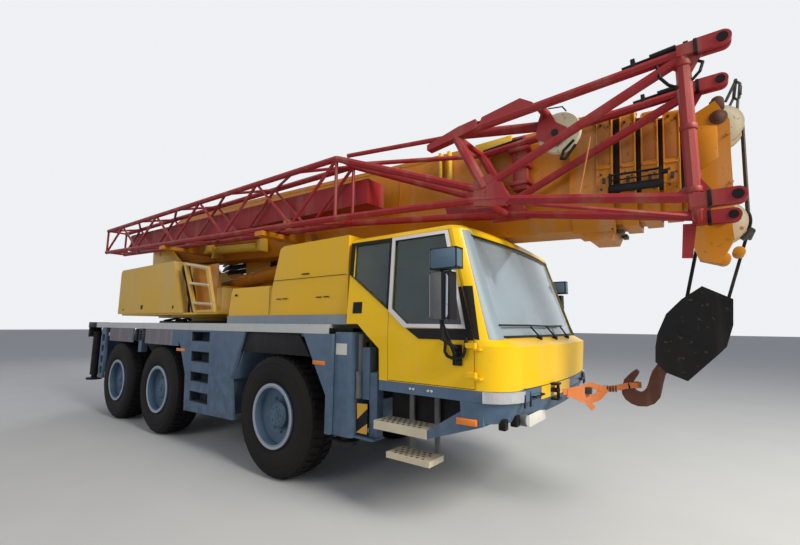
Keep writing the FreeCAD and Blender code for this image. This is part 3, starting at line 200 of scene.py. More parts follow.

# Paints as the paint, its faded colour, fade, dust and shade amount, streaks, chips, gloss and what else
# painted takes
PAINTS = {
    "cab_paint": ((0.86, 0.52, 0.004), (0.84, 0.52, 0.012), 0.5, 0.05, 0.08, 0.06, 0.3,
                  {"skirt": (CARRIER_BLUE, FADED_BLUE, CAB_BAND_TOP)}),
    "yellow_paint": ((0.80, 0.47, 0.008), (0.76, 0.46, 0.03), 0.5, 0.16, 0.16, 0.12, 0.3, {}),
    "cover_paint": ((0.76, 0.43, 0.007), (0.72, 0.42, 0.025), 0.5, 0.12, 0.12, 0.08, 0.28,
                    {"skirt": ((0.20, 0.24, 0.29), (0.27, 0.30, 0.33), COVER_BAND_TOP)}),
    "worn_orange": ((0.40, 0.13, 0.018), (0.55, 0.23, 0.03), 0.7, 0.2, 0.5, 0.6, 0.5, {}),
    "rope_wire": ((0.035, 0.033, 0.03), (0.09, 0.08, 0.07), 0.6, 0.2, 0.0, 0.3, 0.45,
                  {"bump": 0.5, "metallic": 0.5}),
    "boom_paint": ((0.58, 0.20, 0.004), (0.52, 0.21, 0.012), 0.6, 0.1, 0.3, 0.35, 0.42, {}),
    "counterweight_tan": ((0.66, 0.40, 0.05), (0.62, 0.42, 0.13), 0.7, 0.15, 0.2, 0.35, 0.55, {}),
    # The carrier's dust colour is much darker than its paint: painted shade that darkens the carrier towards
    # the bottom, and its upward faces darken too
    "carrier_blue": (CARRIER_BLUE, FADED_BLUE, 0.6, 0.75, 0.2, 0.3, 0.5, {"dust_and_shade": (0.03, 0.055, 0.085)}),
    "carrier_steel": ((0.09, 0.10, 0.11), (0.15, 0.15, 0.15), 0.5, 0.5, 0.3, 0.4, 0.6, {}),
    "deck_grey": ((0.48, 0.50, 0.50), (0.56, 0.56, 0.54), 0.6, 0.4, 0.3, 0.3, 0.45,
                  {"dust_and_shade": (0.40, 0.37, 0.31), "metallic": 0.35}),
    "step_cream": ((0.66, 0.60, 0.44), (0.50, 0.42, 0.29), 0.7, 0.5, 0.3, 0.5, 0.6, {}),
    "tyre_rubber": ((0.007, 0.0065, 0.007), (0.016, 0.014, 0.012), 0.6, 0.16, 0.0, 0.2, 0.7,
                    {"dust_and_shade": (0.035, 0.03, 0.03), "bare": (0.03, 0.025, 0.02), "bump": 0.25, "shine": 0.15}),
    # The rims' dust colour is darker than their paint too, so they darken low down and on their upward faces
    "rim_paint": ((0.065, 0.12, 0.19), (0.11, 0.17, 0.23), 0.5, 0.3, 0.2, 0.45, 0.45,
                  {"dust_and_shade": (0.05, 0.07, 0.10)}),
    "flange_paint": ((0.36, 0.41, 0.50), (0.28, 0.32, 0.40), 0.6, 0.4, 0.1, 0.6, 0.5, {}),
    "dark_trim": ((0.010, 0.010, 0.012), (0.018, 0.018, 0.019), 0.4, 0.2, 0.1, 0.0, 0.5,
                  {"dust_and_shade": (0.09, 0.085, 0.08), "bump": 0.3, "shine": 0.12}),
    "jib_red": ((0.29, 0.012, 0.018), (0.28, 0.028, 0.028), 0.6, 0.1, 0.3, 0.6, 0.5,
                {"dust_and_shade": (0.35, 0.20, 0.14), "bare": (0.12, 0.05, 0.03)}),
    "bracket_yellow": ((0.70, 0.42, 0.015), (0.60, 0.38, 0.04), 0.6, 0.2, 0.3, 0.4, 0.45, {}),
    "block_black": ((0.006, 0.006, 0.007), (0.012, 0.011, 0.011), 0.5, 0.15, 0.2, 0.5, 0.4,
                    {"dust_and_shade": (0.10, 0.08, 0.06), "bare": (0.08, 0.06, 0.04), "shine": 0.12}),
    "hook_steel": ((0.070, 0.018, 0.010), (0.11, 0.032, 0.018), 0.8, 0.1, 0.2, 0.4, 0.6,
                   {"bare": (0.16, 0.10, 0.07)}),
    "sheave_cream": ((0.62, 0.56, 0.40), (0.50, 0.45, 0.33), 0.6, 0.2, 0.1, 0.5, 0.5, {}),
    "cylinder_steel": ((0.60, 0.60, 0.61), (0.52, 0.51, 0.49), 0.3, 0.1, 0.1, 0.0, 0.15, {"metallic": 0.9}),
    "bare_steel": ((0.33, 0.33, 0.33), (0.25, 0.22, 0.19), 0.6, 0.2, 0.2, 0.6, 0.38,
                   {"bare": (0.17, 0.10, 0.06), "metallic": 0.7}),
    "window_frame": ((0.54, 0.53, 0.56), (0.46, 0.46, 0.47), 0.4, 0.2, 0.1, 0.1, 0.28, {"metallic": 0.6}),
    "faded_purple": ((0.13, 0.115, 0.15), (0.18, 0.16, 0.19), 0.7, 0.3, 0.4, 0.25, 0.55, {}),
    "hazard_yellow": ((0.68, 0.36, 0.02), (0.58, 0.33, 0.05), 0.4, 0.15, 0.2, 0.3, 0.4, {}),
    # Opaque pale blue-grey for the windscreen's corners: a painted reflection of the sky in the glass
    "painted_screen_reflection": ((0.24, 0.30, 0.35), (0.28, 0.34, 0.38), 0.3, 0.08, 0.0, 0.0, 0.35,
                      {"bump": 0.0, "shine": 0.2}),
    # A dark copy of the carrier blue: painted shade inside the side step pockets
    "painted_step_shade": ((0.020, 0.033, 0.045), (0.03, 0.045, 0.055), 0.5, 0.1, 0.0, 0.0, 0.7, {"shine": 0.15}),
    "strap_orange": ((0.62, 0.16, 0.03), (0.50, 0.20, 0.08), 0.5, 0.3, 0.2, 0.1, 0.8, {"bump": 0.5}),
    "blank_plate": ((0.66, 0.65, 0.60), (0.56, 0.54, 0.48), 0.5, 0.3, 0.3, 0.2, 0.5, {}),
    "mirror_face": ((0.80, 0.82, 0.84), (0.7, 0.72, 0.74), 0.1, 0.05, 0.0, 0.0, 0.04,
                    {"bump": 0.0, "metallic": 1.0}),
}

MATERIALS = {name: painted(name, *look, **more) for name, (*look, more) in PAINTS.items()}
MATERIALS.update({
    "window_glass": pane("window_glass", (0.17, 0.25, 0.26)),
    # The windscreen glass's pale blue is a painted reflection of the sky
    "screen_glass_painted_reflection": pane("screen_glass_painted_reflection", (0.56, 0.67, 0.76), (0.62, 0.68, 0.72), clear=0.62),
    "lamp_glass": lens("lamp_glass", (0.82, 0.84, 0.86), transmission=0.5),
    "amber_lens": lens("amber_lens", (0.85, 0.23, 0.02)),
})

NODE_FINISHES = {
    "cab_paint": ["cab_shell", "door_left", "door_right"],
    "cover_paint": ["engine_cover"],
    "yellow_paint": ["turntable_frame", "operator_cab", "operator_door"],
    "boom_paint": ["boom_base", "boom_section_1", "boom_section_2", "boom_section_3", "boom_section_4",
                   "luff_barrel"],
    "counterweight_tan": ["counterweight"],
    "carrier_blue": ["side_panels", "fenders", "rear_bumper", "front_bumper", "outrigger_boxes"],
    "carrier_steel": ["chassis_frame", "axles", "hoist_winch", "engine_block"],
    "deck_grey": ["deck"],
    "step_cream": ["cab_steps"],
    "window_glass": ["cab_glass", "operator_glass"],
    "dark_trim": ["cab_inside", "mirror_left", "mirror_right"],
    "lamp_glass": ["headlamps"],
    "jib_red": ["jib_lattice", "jib_extension"],
    "block_black": ["hook_block"],
    "hook_steel": ["hook"],
    "cylinder_steel": ["luff_rod"]}

for finish, names in NODE_FINISHES.items():
    for name in names:
        nodes[name].data.materials.clear()
        nodes[name].data.materials.append(MATERIALS[finish])
for name, node in nodes.items():
    group = {"knu": "carrier_steel", "rim": "rim_paint", "tyr": "tyre_rubber"}.get(name[:3])
    # The outrigger jacks take the dark trim as painted shade, for they stand in shadow under the carrier; the
    # rear beams take it too
    if name.startswith(("outrigger_beam", "outrigger_jack")):
        group = "dark_trim" if "jack" in name or "rear" in name else "carrier_blue"
    if group:
        node.data.materials.clear()
        node.data.materials.append(MATERIALS[group])


# Camera, lamps and floor

CAMERA_PLACE = Vector((5.188, -4.244, 1.754))
CAMERA_TURN = math.radians(37.213)
CAMERA_RISE = math.radians(7.421)
CAMERA_ROLL = math.radians(0.523)
CAMERA_LENS = 18.21


def place_camera():
    """A level-headed camera turned from +Y towards -X, tipped up and rolled."""
    forward = Vector((-math.sin(CAMERA_TURN) * math.cos(CAMERA_RISE),
                      math.cos(CAMERA_TURN) * math.cos(CAMERA_RISE),
                      math.sin(CAMERA_RISE)))
    right = forward.cross(Vector((0, 0, 1))).normalized()
    upright = right.cross(forward)
    rolled_right = right * math.cos(CAMERA_ROLL) + upright * math.sin(CAMERA_ROLL)
    rolled_up = upright * math.cos(CAMERA_ROLL) - right * math.sin(CAMERA_ROLL)
    data = bpy.data.cameras.new("photo_camera")
    data.lens = CAMERA_LENS
    data.sensor_width = 36.0
    data.clip_end = 400.0
    camera = bpy.data.objects.new("photo_camera", data)
    camera.matrix_world = Matrix((rolled_right, rolled_up, -forward)).transposed().to_4x4()
    camera.location = CAMERA_PLACE
    bpy.context.scene.collection.objects.link(camera)
    bpy.context.scene.camera = camera


def add_softbox(name, place, target, size, power, colour):
    data = bpy.data.lights.new(name, "AREA")
    data.size = size
    data.energy = power
    data.color = colour
    lamp = bpy.data.objects.new(name, data)
    lamp.location = place
    lamp.rotation_euler = (Vector(target) - Vector(place)).to_track_quat("-Z", "Y").to_euler()
    bpy.context.scene.collection.objects.link(lamp)


def make_studio():
    add_softbox("key_light", (14.0, -2.0, 9.0), (3.0, 0.0, 1.5), 5.0, 2200.0, (1.0, 0.98, 0.88))
    add_softbox("side_light", (0.0, -15.0, 8.0), (0.0, 0.0, 1.5), 8.0, 480.0, (1.0, 0.96, 0.94))
    add_softbox("rear_light", (-13.0, 8.0, 8.0), (-2.0, 0.0, 2.0), 7.0, 420.0, (1.0, 0.98, 0.95))
    world = bpy.data.worlds.new("studio")
    world.use_nodes = True
    background = world.node_tree.nodes["Background"]
    path = add_node(world.node_tree, "LightPath")
    seen = add_node(world.node_tree, "Math", {0: path.outputs["Is Camera Ray"],
                                              1: path.outputs["Is Glossy Ray"]},
                    operation="MAXIMUM").outputs[0]
    seen = add_node(world.node_tree, "Math", {0: seen, 1: path.outputs["Is Transmission Ray"]},
                    operation="MAXIMUM").outputs[0]
    colour = mixed(world.node_tree, seen, (0.24, 0.26, 0.30, 1), (0.86, 0.88, 0.90, 1))
    world.node_tree.links.new(colour, background.inputs["Color"])
    bpy.context.scene.world = world
    floor_mesh = bmesh.new()
    bmesh.ops.create_grid(floor_mesh, x_segments=1, y_segments=1, size=120.0)
    data = bpy.data.meshes.new("floor")
    floor_mesh.to_mesh(data)
    floor = bpy.data.objects.new("floor", data)
    bpy.context.scene.collection.objects.link(floor)
    material, tree, shader = new_material("floor_finish", roughness=0.9)
    tone = mixed(tree, noise(tree, 1.2, 6), (0.54, 0.54, 0.55, 1), (0.60, 0.60, 0.60, 1))
    tree.links.new(tone, shader.inputs["Base Color"])
    data.materials.append(material)
    bpy.context.scene.view_settings.view_transform = "Standard"


place_camera()
make_studio()


# Mesh helpers

SMOOTH_ANGLE = math.radians(32)


def turned_to(direction):
    """The turn that takes +Z to a direction."""
    return Vector(direction).to_track_quat("Z", "Y").to_matrix().to_4x4()


def round_edges(mesh, verts, width):
    edges = list(dict.fromkeys(edge for vert in verts for edge in vert.link_edges))
    bmesh.ops.bevel(mesh, geom=edges, offset=width, offset_type="OFFSET", affect="EDGES", segments=2,
                    profile=0.5, material=-1, clamp_overlap=True)


def add_box(mesh, low, high, bevel=0.0, turn=Matrix()):
    """A box between two corners, turned about its middle."""
    low, high = Vector(low), Vector(high)
    place = Matrix.Translation((low + high) / 2) @ turn @ Matrix.Diagonal((*(high - low), 1))
    made = bmesh.ops.create_cube(mesh, size=1.0, matrix=place)["verts"]
    if bevel:
        round_edges(mesh, made, bevel)


def add_rod(mesh, start, end, radius, sides=12, bevel=0.0):
    """A round bar."""
    start, end = Vector(start), Vector(end)
    place = Matrix.Translation((start + end) / 2) @ turned_to(end - start)
    made = bmesh.ops.create_cone(mesh, cap_ends=True, segments=sides, radius1=radius,
                                 radius2=radius,
                                 depth=(end - start).length, matrix=place)["verts"]
    if bevel:
        caps = dict.fromkeys(edge for vert in made for edge in vert.link_edges
                             if any(len(face.verts) > 4 for face in edge.link_faces))
        bmesh.ops.bevel(mesh, geom=list(caps), offset=bevel, offset_type="OFFSET", affect="EDGES", segments=2,
                        profile=0.5, material=-1)


def raise_face(mesh, faces, depth):
    """Faces thickened by the vector depth; the new vertices are handed back."""
    raised = bmesh.ops.extrude_face_region(mesh, geom=faces, use_keep_orig=True)["geom"]
    far = [part for part in raised if isinstance(part, bmesh.types.BMVert)]
    bmesh.ops.translate(mesh, verts=far, vec=depth)
    return far


def add_plate(mesh, outline, depth, bevel=0.0):
    """A flat plate from its outline's corners, as deep as the vector depth."""
    far = raise_face(mesh, [mesh.faces.new([mesh.verts.new(point) for point in outline])], depth)
    if bevel:
        round_edges(mesh, far, bevel)


def add_lathe(mesh, profile, centre, steps):
    """A closed ring or disc from (along, radius) points turned about the axis across the crane."""
    centre, axis = Vector(centre), Vector((0, 1, 0))
    outward = axis.orthogonal().normalized()
    ring = [mesh.verts.new(centre + axis * along + outward * radius) for along, radius in profile]
    edges = [mesh.edges.new((ring[index], ring[(index + 1) % len(ring)])) for index in range(len(ring))]
    bmesh.ops.spin(mesh, geom=ring + edges, cent=centre, axis=axis, angle=2 * math.pi, steps=steps,
                   use_merge=True)


def add_tube(mesh, points, radius, sides=8):
    """A bent tube through points, with a ball at each bend."""
    points = [Vector(point) for point in points]
    for start, end in zip(points, points[1:]):
        add_rod(mesh, start, end, radius, sides)
    for point in points[1:-1]:
        bmesh.ops.create_icosphere(mesh, subdivisions=1, radius=radius * 1.03,
                                   matrix=Matrix.Translation(point))


def make_piece(name, mesh, finish, body, replaces=()):
    """The finished mesh as an object with its material, riding on a body."""
    bmesh.ops.remove_doubles(mesh, verts=mesh.verts, dist=MERGE_DISTANCE)
    bmesh.ops.recalc_face_normals(mesh, faces=mesh.faces)
    for face in mesh.faces:
        face.smooth = True
    for edge in mesh.edges:
        edge.smooth = len(edge.link_faces) == 2 and edge.calc_face_angle(math.pi) < SMOOTH_ANGLE
    data = bpy.data.meshes.new(name)
    mesh.to_mesh(data)
    mesh.free()
    data.materials.append(MATERIALS[finish])
    piece = bpy.data.objects.new(name, data)
    bpy.context.scene.collection.objects.link(piece)
    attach(piece, body)
    if replaces:
        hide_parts(*replaces)


# Wheels

TREAD_DEPTH = 0.017
LUG_COUNT = 44
NUT_COUNT = 10
HUB_FACE = 0.15
DISC_FACE = 0.045
FLANGE_FACE = 0.2153


def wheel_centre(axle, side):
    low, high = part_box(f"tyre_axle_{axle}_{side}")
    return (low + high) / 2, (high.y - low.y) / 2, (high.z - low.z) / 2


def add_lugs(mesh, centre, half, radius, row):
    """One row of slanted tread blocks round a tyre; row is -1 or 1 across the tread."""
    inner, outer = 0.03, half - 0.065
    base, top = radius - TREAD_DEPTH - 0.006, radius - 0.001
    lug = bmesh.ops.create_cube(mesh, size=1.0, matrix=Matrix.Translation(
        centre + Vector((0, row * (inner + outer) / 2, (base + top) / 2)))
        @ Matrix.Rotation(row * math.radians(14), 4, "Z")
        @ Matrix.Diagonal((0.062, outer - inner, top - base, 1)))["verts"]
    outside = [vert for vert in lug if (vert.co.y - centre.y) * row > (inner + outer) / 2]
    bmesh.ops.translate(mesh, verts=outside, vec=(0, 0, -0.009))
    faces = list(dict.fromkeys(face for vert in lug for face in vert.link_faces))
    turn = 2 * math.pi * (LUG_COUNT - 1) / LUG_COUNT
    bmesh.ops.spin(mesh, geom=lug + faces, cent=centre, axis=(0, 1, 0), angle=turn, steps=LUG_COUNT - 1,
                   use_duplicate=True)


def make_tyre(axle, side):
    centre, half, radius = wheel_centre(axle, side)
    floor = radius - TREAD_DEPTH
    half_profile = [(0.0, floor - 0.010), (0.012, floor - 0.010), (0.016, floor),
                    (half - 0.075, floor - 0.003),
                    (half - 0.040, floor - 0.012), (half - 0.022, floor - 0.045), (half - 0.012, 0.63),
                    (half - 0.004, 0.60), (half - 0.008, 0.592), (half - 0.001, 0.56), (half, 0.525),
                    (half - 0.003, 0.47), (half - 0.010, 0.425), (half - 0.018, 0.405), (half - 0.030, 0.385),
                    (half - 0.030, 0.347)]
    profile = half_profile + [(-along, ring) for along, ring in reversed(half_profile[1:])]
    mesh = bmesh.new()
    add_lathe(mesh, profile, centre, steps=72)
    for row in (-1, 1):
        add_lugs(mesh, centre, half, radius, row)
    make_piece(f"tread_tyre_{axle}_{side}", mesh, "tyre_rubber", f"wheel_{axle}_{side}",
               replaces=[f"tyre_axle_{axle}_{side}"])


def make_wheel_trim(axle, side):
    """Light flange ring, wheel nuts round the disc and small bolts on the hub cap."""
    centre, _, _ = wheel_centre(axle, side)
    out = OUT[side]

    def at(along, radius=0.0, angle=0.0):
        return centre + Vector((radius * math.cos(angle), out * along, radius * math.sin(angle)))

    flange = bmesh.new()
    ring = [(FLANGE_FACE - 0.002, 0.336), (FLANGE_FACE + 0.003, 0.338), (FLANGE_FACE + 0.004, 0.364),
            (FLANGE_FACE - 0.002, 0.3665)]
    add_lathe(flange, [(out * along, radius) for along, radius in ring], centre, steps=64)
    lock = [(FLANGE_FACE - 0.008, 0.322), (FLANGE_FACE + 0.001, 0.323), (FLANGE_FACE + 0.001, 0.330),
            (FLANGE_FACE - 0.008, 0.331)]
    add_lathe(flange, [(out * along, radius) for along, radius in lock], centre, steps=64)
    make_piece(f"flange_ring_{axle}_{side}", flange, "flange_paint", f"wheel_{axle}_{side}")
    nuts = bmesh.new()
    for number in range(NUT_COUNT):
        angle = 2 * math.pi * (number + 0.5) / NUT_COUNT
        add_rod(nuts, at(DISC_FACE - 0.002, 0.205, angle), at(DISC_FACE + 0.022, 0.205, angle), 0.019, 6)
        add_rod(nuts, at(DISC_FACE + 0.02, 0.205, angle), at(DISC_FACE + 0.04, 0.205, angle), 0.011, 8)
    for number in range(8):
        angle = 2 * math.pi * number / 8
        add_rod(nuts, at(HUB_FACE - 0.003, 0.088, angle), at(HUB_FACE + 0.009, 0.088, angle), 0.009, 6)
    add_rod(nuts, at(HUB_FACE - 0.003), at(HUB_FACE + 0.008), 0.052, 20, bevel=0.003)
    add_rod(nuts, at(HUB_FACE + 0.006), at(HUB_FACE + 0.016), 0.018, 6)
    make_piece(f"wheel_nuts_{axle}_{side}", nuts, "rim_paint", f"wheel_{axle}_{side}")
    valve = bmesh.new()
    add_tube(valve, [at(0.05, 0.285, 0.5), at(0.12, 0.300, 0.5), at(0.17, 0.285, 0.5)], 0.007)
    make_piece(f"valve_{axle}_{side}", valve, "bare_steel", f"wheel_{axle}_{side}")


for axle in AXLES:
    for side in OUT:
        make_tyre(axle, side)
        make_wheel_trim(axle, side)


# Cab

FRONT_AXLE_X = wheel_centre(1, "left")[0].x
# The cab's skin as (height, where the corner starts, half width, where it ends, middle of the front,
# corner width)
CAB_SECTIONS = [(1.148, 2.60, 1.235, 2.87, 2.94, 0.30), (1.59, 2.62, 1.248, 2.90, 2.97, 0.30),
                (1.65, 2.60, 1.249, 2.77, 2.835, 0.24), (2.615, 2.352, 1.178, 2.452, 2.512, 0.19),
                (2.665, 2.28, 1.11, 2.38, 2.44, 0.18)]


def at(forward, left, up):
    """A place given from the front axle."""
    return Vector((FRONT_AXLE_X + forward, left, up))


def cab_section(up):
    up = min(max(up, CAB_SECTIONS[0][0]), CAB_SECTIONS[-1][0])
    for lower, upper in zip(CAB_SECTIONS, CAB_SECTIONS[1:]):
        if up <= upper[0]:
            share = (up - lower[0]) / (upper[0] - lower[0])
            return [low + (high - low) * share for low, high in zip(lower[1:], upper[1:])]


def corner_arc(start, half, tip, corner):
    """Middle and radius of the arc round the cab's corner."""
    (ax, ay), (bx, by), (cx, cy) = ((start, half), (start + 0.68 * (tip - start), half - 0.3 * corner),
                                    (tip, half - corner))
    twice = 2 * (ax * (by - cy) + bx * (cy - ay) + cx * (ay - by))
    a, b, c = ax * ax + ay * ay, bx * bx + by * by, cx * cx + cy * cy
    x = (a * (by - cy) + b * (cy - ay) + c * (ay - by)) / twice
    y = (a * (cx - bx) + b * (ax - cx) + c * (bx - ax)) / twice
    return x, y, math.hypot(ax - x, ay - y)


def on_front(left, up, lift=0.0):
    """A place on the cab's front skin, lifted off it by a little."""
    start, half, tip, middle, corner = cab_section(up)
    flat = half - corner
    if abs(left) <= flat:
        forward = tip + (middle - tip) * (1 - (left / flat) ** 2)
    else:
        x, y, radius = corner_arc(start, half, tip, corner)
        forward = x + math.sqrt(max(radius * radius - (abs(left) - y) ** 2, 0.0))
    return at(forward + lift, left, up)


def on_side(forward, up, side, lift=0.0):
    """A place on the cab's side skin."""
    start, half, tip, _, corner = cab_section(up)
    if forward > start:
        x, y, radius = corner_arc(start, half, tip, corner)
        half = y + math.sqrt(max(radius * radius - (forward - x) ** 2, 0.0))
    return at(forward, OUT[side] * (half + lift), up)


def add_side_panel(mesh, outline, side, lift, thickness):
    """A panel on the cab's side from its (forward, up) corners."""
    face = mesh.faces.new([mesh.verts.new(on_side(forward, up, side, lift)) for forward, up in outline])
    raise_face(mesh, [face], Vector((0, OUT[side] * thickness, 0)))


def add_side_frame(mesh, outlines, side, lift, thickness):
    """A surround on the cab's side between its outer and inner outlines."""
    outer, inner = [[mesh.verts.new(on_side(forward, up, side, lift)) for forward, up in outline]
                    for outline in outlines]
    ring = [mesh.faces.new((outer[n - 1], outer[n], inner[n], inner[n - 1])) for n in range(len(outer))]
    raise_face(mesh, ring, Vector((0, OUT[side] * thickness, 0)))


def add_skin_patch(mesh, edges, place, lift, depth, across=6, upward=8):
    """A patch on the cab's skin between two edges, each from a low to a high corner, set by place."""
    grid = []
    for row in range(upward + 1):
        ends = [[low + (high - low) * row / upward for low, high in zip(*edge)] for edge in edges]
        grid.append([mesh.verts.new(place(*[near + (far - near) * column / across for near,
                                            far in zip(*ends)], lift))
                     for column in range(across + 1)])
    faces = [mesh.faces.new((grid[r][c], grid[r][c + 1], grid[r + 1][c + 1], grid[r + 1][c]))
             for r in range(upward) for c in range(across)]
    raise_face(mesh, faces, Vector(depth))


def add_front_band(mesh, places, width, lift, thickness, steps=12):
    """A strip along (left, up) places on the cab's front, as wide as width upwards."""
    path = []
    for start, end in zip(places, places[1:]):
        for step in range(steps):
            share = step / steps
            path.append([low + (high - low) * share for low, high in zip(start, end)])
    path.append(places[-1])
    lows = [mesh.verts.new(on_front(left, up, lift)) for left, up in path]
    highs = [mesh.verts.new(on_front(left, up + width, lift)) for left, up in path]
    faces = [mesh.faces.new((lows[n], lows[n + 1], highs[n + 1], highs[n])) for n in range(len(path) - 1)]
    raise_face(mesh, faces, Vector((thickness, 0, 0)))


# Window surrounds as their outer and inner corners
DOOR_WINDOW = ([(1.690, 1.888), (1.885, 1.736), (2.510, 1.732), (2.313, 2.601), (1.690, 2.601)],
               [(1.728, 1.912), (1.912, 1.768), (2.476, 1.765), (2.286, 2.572), (1.728, 2.572)])
QUARTER_WINDOW = ([(1.14, 2.275), (1.684, 1.895), (1.684, 2.605), (1.14, 2.612)],
                  [(1.195, 2.248), (1.657, 1.922), (1.657, 2.575), (1.195, 2.575)])
DOOR_TRIM = [(1.903, 1.727), (2.049, 1.637), (2.584, 1.637), (2.584, 1.662), (2.464, 2.083), (2.436, 2.083),
             (2.514, 1.727)]
PILLAR_TRIM = (((2.595, 1.645), (2.476, 2.087)), ((2.633, 1.645), (2.55, 2.087)))
HANDLE_RECESS = [(1.22, 1.868), (1.345, 1.868), (1.345, 1.983), (1.22, 1.983)]
# Height of the lamps and reflectors in the cab's lower band
BAND_MIDDLE = 1.196


def make_cab_side(side):
    body = f"door_{side}_leaf"
    frame_bars = bmesh.new()
    add_side_frame(frame_bars, DOOR_WINDOW, side, 0.001, 0.008)
    make_piece(f"door_window_frame_{side}", frame_bars, "window_frame", body)
    trim = bmesh.new()
    add_side_panel(trim, DOOR_TRIM, side, 0.001, 0.005)
    make_piece(f"door_lower_trim_{side}", trim, "dark_trim", body)
    seal = bmesh.new()
    add_side_frame(seal, QUARTER_WINDOW, side, 0.0005, 0.005)
    add_skin_patch(seal, PILLAR_TRIM, lambda forward, up, lift: on_side(forward, up, side, lift), 0.001,
                   (0, OUT[side] * 0.004, 0), 4)
    make_piece(f"quarter_window_seal_{side}", seal, "dark_trim", "root")
    handle = bmesh.new()
    add_side_panel(handle, HANDLE_RECESS, side, 0.0005, 0.002)
    make_piece(f"handle_recess_{side}", handle, "dark_trim", "root")
    grip = bmesh.new()
    out = OUT[side]
    hoop = [(2.335, 1.262, 1.66), (2.337, 1.285, 1.54), (2.36, 1.285, 1.505), (2.41, 1.285, 1.49),
            (2.47, 1.285, 1.49),
            (2.51, 1.285, 1.515), (2.523, 1.285, 1.55), (2.525, 1.262, 1.66)]
    add_tube(grip, [at(x, out * y, z) for x, y, z in hoop], 0.014)
    make_piece(f"door_grips_{side}", grip, "dark_trim", body)
    lights = bmesh.new()
    for forward in (1.95, 1.985, 2.14, 2.175):
        add_rod(lights, on_side(forward, BAND_MIDDLE, side, -0.002),
                on_side(forward, BAND_MIDDLE, side, 0.006), 0.011, 12)
    make_piece(f"band_reflectors_{side}", lights, "blank_plate", "root")


def make_windscreen_trim():
    seal = bmesh.new()
    add_front_band(seal, [(-1.12, 1.655), (1.12, 1.655)], 0.02, 0.001, 0.005, steps=24)
    add_front_band(seal, [(-1.05, 2.545), (1.05, 2.545)], 0.02, 0.001, 0.005, steps=24)
    make_piece("windscreen_seal", seal, "dark_trim", "root")
    # The windscreen's corners are opaque patches whose pale blue-grey is a painted sky reflection
    corners = bmesh.new()
    for left in (-1, 1):
        add_skin_patch(corners, [((left * 1.08, 1.645), (left * 1.03, 2.60)),
                                 ((left * 1.20, 1.645), (left * 1.125, 2.60))],
                       on_front, 0.0015, (0.002, 0, 0))
    make_piece("windscreen_corners", corners, "painted_screen_reflection", "root")
    wipers = bmesh.new()
    for base, tip in (((-0.433, 1.645), (-0.56, 1.75)), ((-0.044, 1.64), (-0.165, 1.755)),
                      ((0.42, 1.64), (0.31, 1.755))):
        add_rod(wipers, on_front(*base, -0.01), on_front(*base, 0.035), 0.018, 12)
        add_tube(wipers, [on_front(*base, 0.028), on_front(*tip, 0.03)], 0.008)
    for start, end in (((-1.09, 1.762), (-0.62, 1.762)), ((-0.60, 1.764), (-0.08, 1.757)),
                       ((-0.06, 1.757), (0.46, 1.762))):
        middle = ((start[0] + end[0]) / 2, (start[1] + end[1]) / 2)
        add_tube(wipers, [on_front(*start, 0.016), on_front(*middle, 0.016), on_front(*end, 0.016)], 0.008, 6)
    make_piece("wipers", wipers, "dark_trim", "root")
    seams = bmesh.new()
    add_front_band(seams, [(-1.0, CAB_BAND_TOP), (1.0, CAB_BAND_TOP)], 0.006, -0.0005, 0.0015, steps=24)
    for left in (-0.93, 0.93):
        strip = [(left, 1.25), (left, 1.63)]
        lows = [seams.verts.new(on_front(l - 0.003, u, 0.0005)) for l, u in strip]
        highs = [seams.verts.new(on_front(l + 0.003, u, 0.0005)) for l, u in strip]
        raise_face(seams, [seams.faces.new((lows[0], highs[0], highs[1], lows[1]))], Vector((0.001, 0, 0)))
    make_piece("hood_seams", seams, "dark_trim", "root")


for side in OUT:
    make_cab_side(side)
make_windscreen_trim()

# Boom, its sections and the head

BOOM_TILT = math.radians(2.5)


def on_boom(along, left, up):
    """A place in the boom's own frame: along it from the foot pin, across and up."""
    slope, rise = math.cos(BOOM_TILT), math.sin(BOOM_TILT)
    return at(-5.5 + along * slope + up * rise, left, 3.267 - along * rise + up * slope)


def add_boom_box(mesh, low, high, bevel=0.0):
    low, high = Vector(low), Vector(high)
    middle, size = on_boom(*((low + high) / 2)), high - low
    add_box(mesh, middle - size / 2, middle + size / 2, bevel, Matrix.Rotation(BOOM_TILT, 4, "Y"))


# Collars as (body, start and end along the boom, half width, top)
COLLARS = [("boom", 8.654, 9.014, 0.36, 0.83), ("telescope_1", 9.07, 9.19, 0.32, 0.79),
           ("telescope_2", 9.23, 9.355, 0.286, 0.756), ("telescope_3", 9.39, 9.51, 0.252, 0.722)]
# Section tubes seen between the collars as (body, start, end, half width, top)
GAPS = [("telescope_1", 9.016, 9.068, 0.298, 0.768), ("telescope_2", 9.192, 9.228, 0.266, 0.736),
        ("telescope_3", 9.357, 9.388, 0.234, 0.704), ("telescope_4", 9.512, 9.568, 0.202, 0.672)]


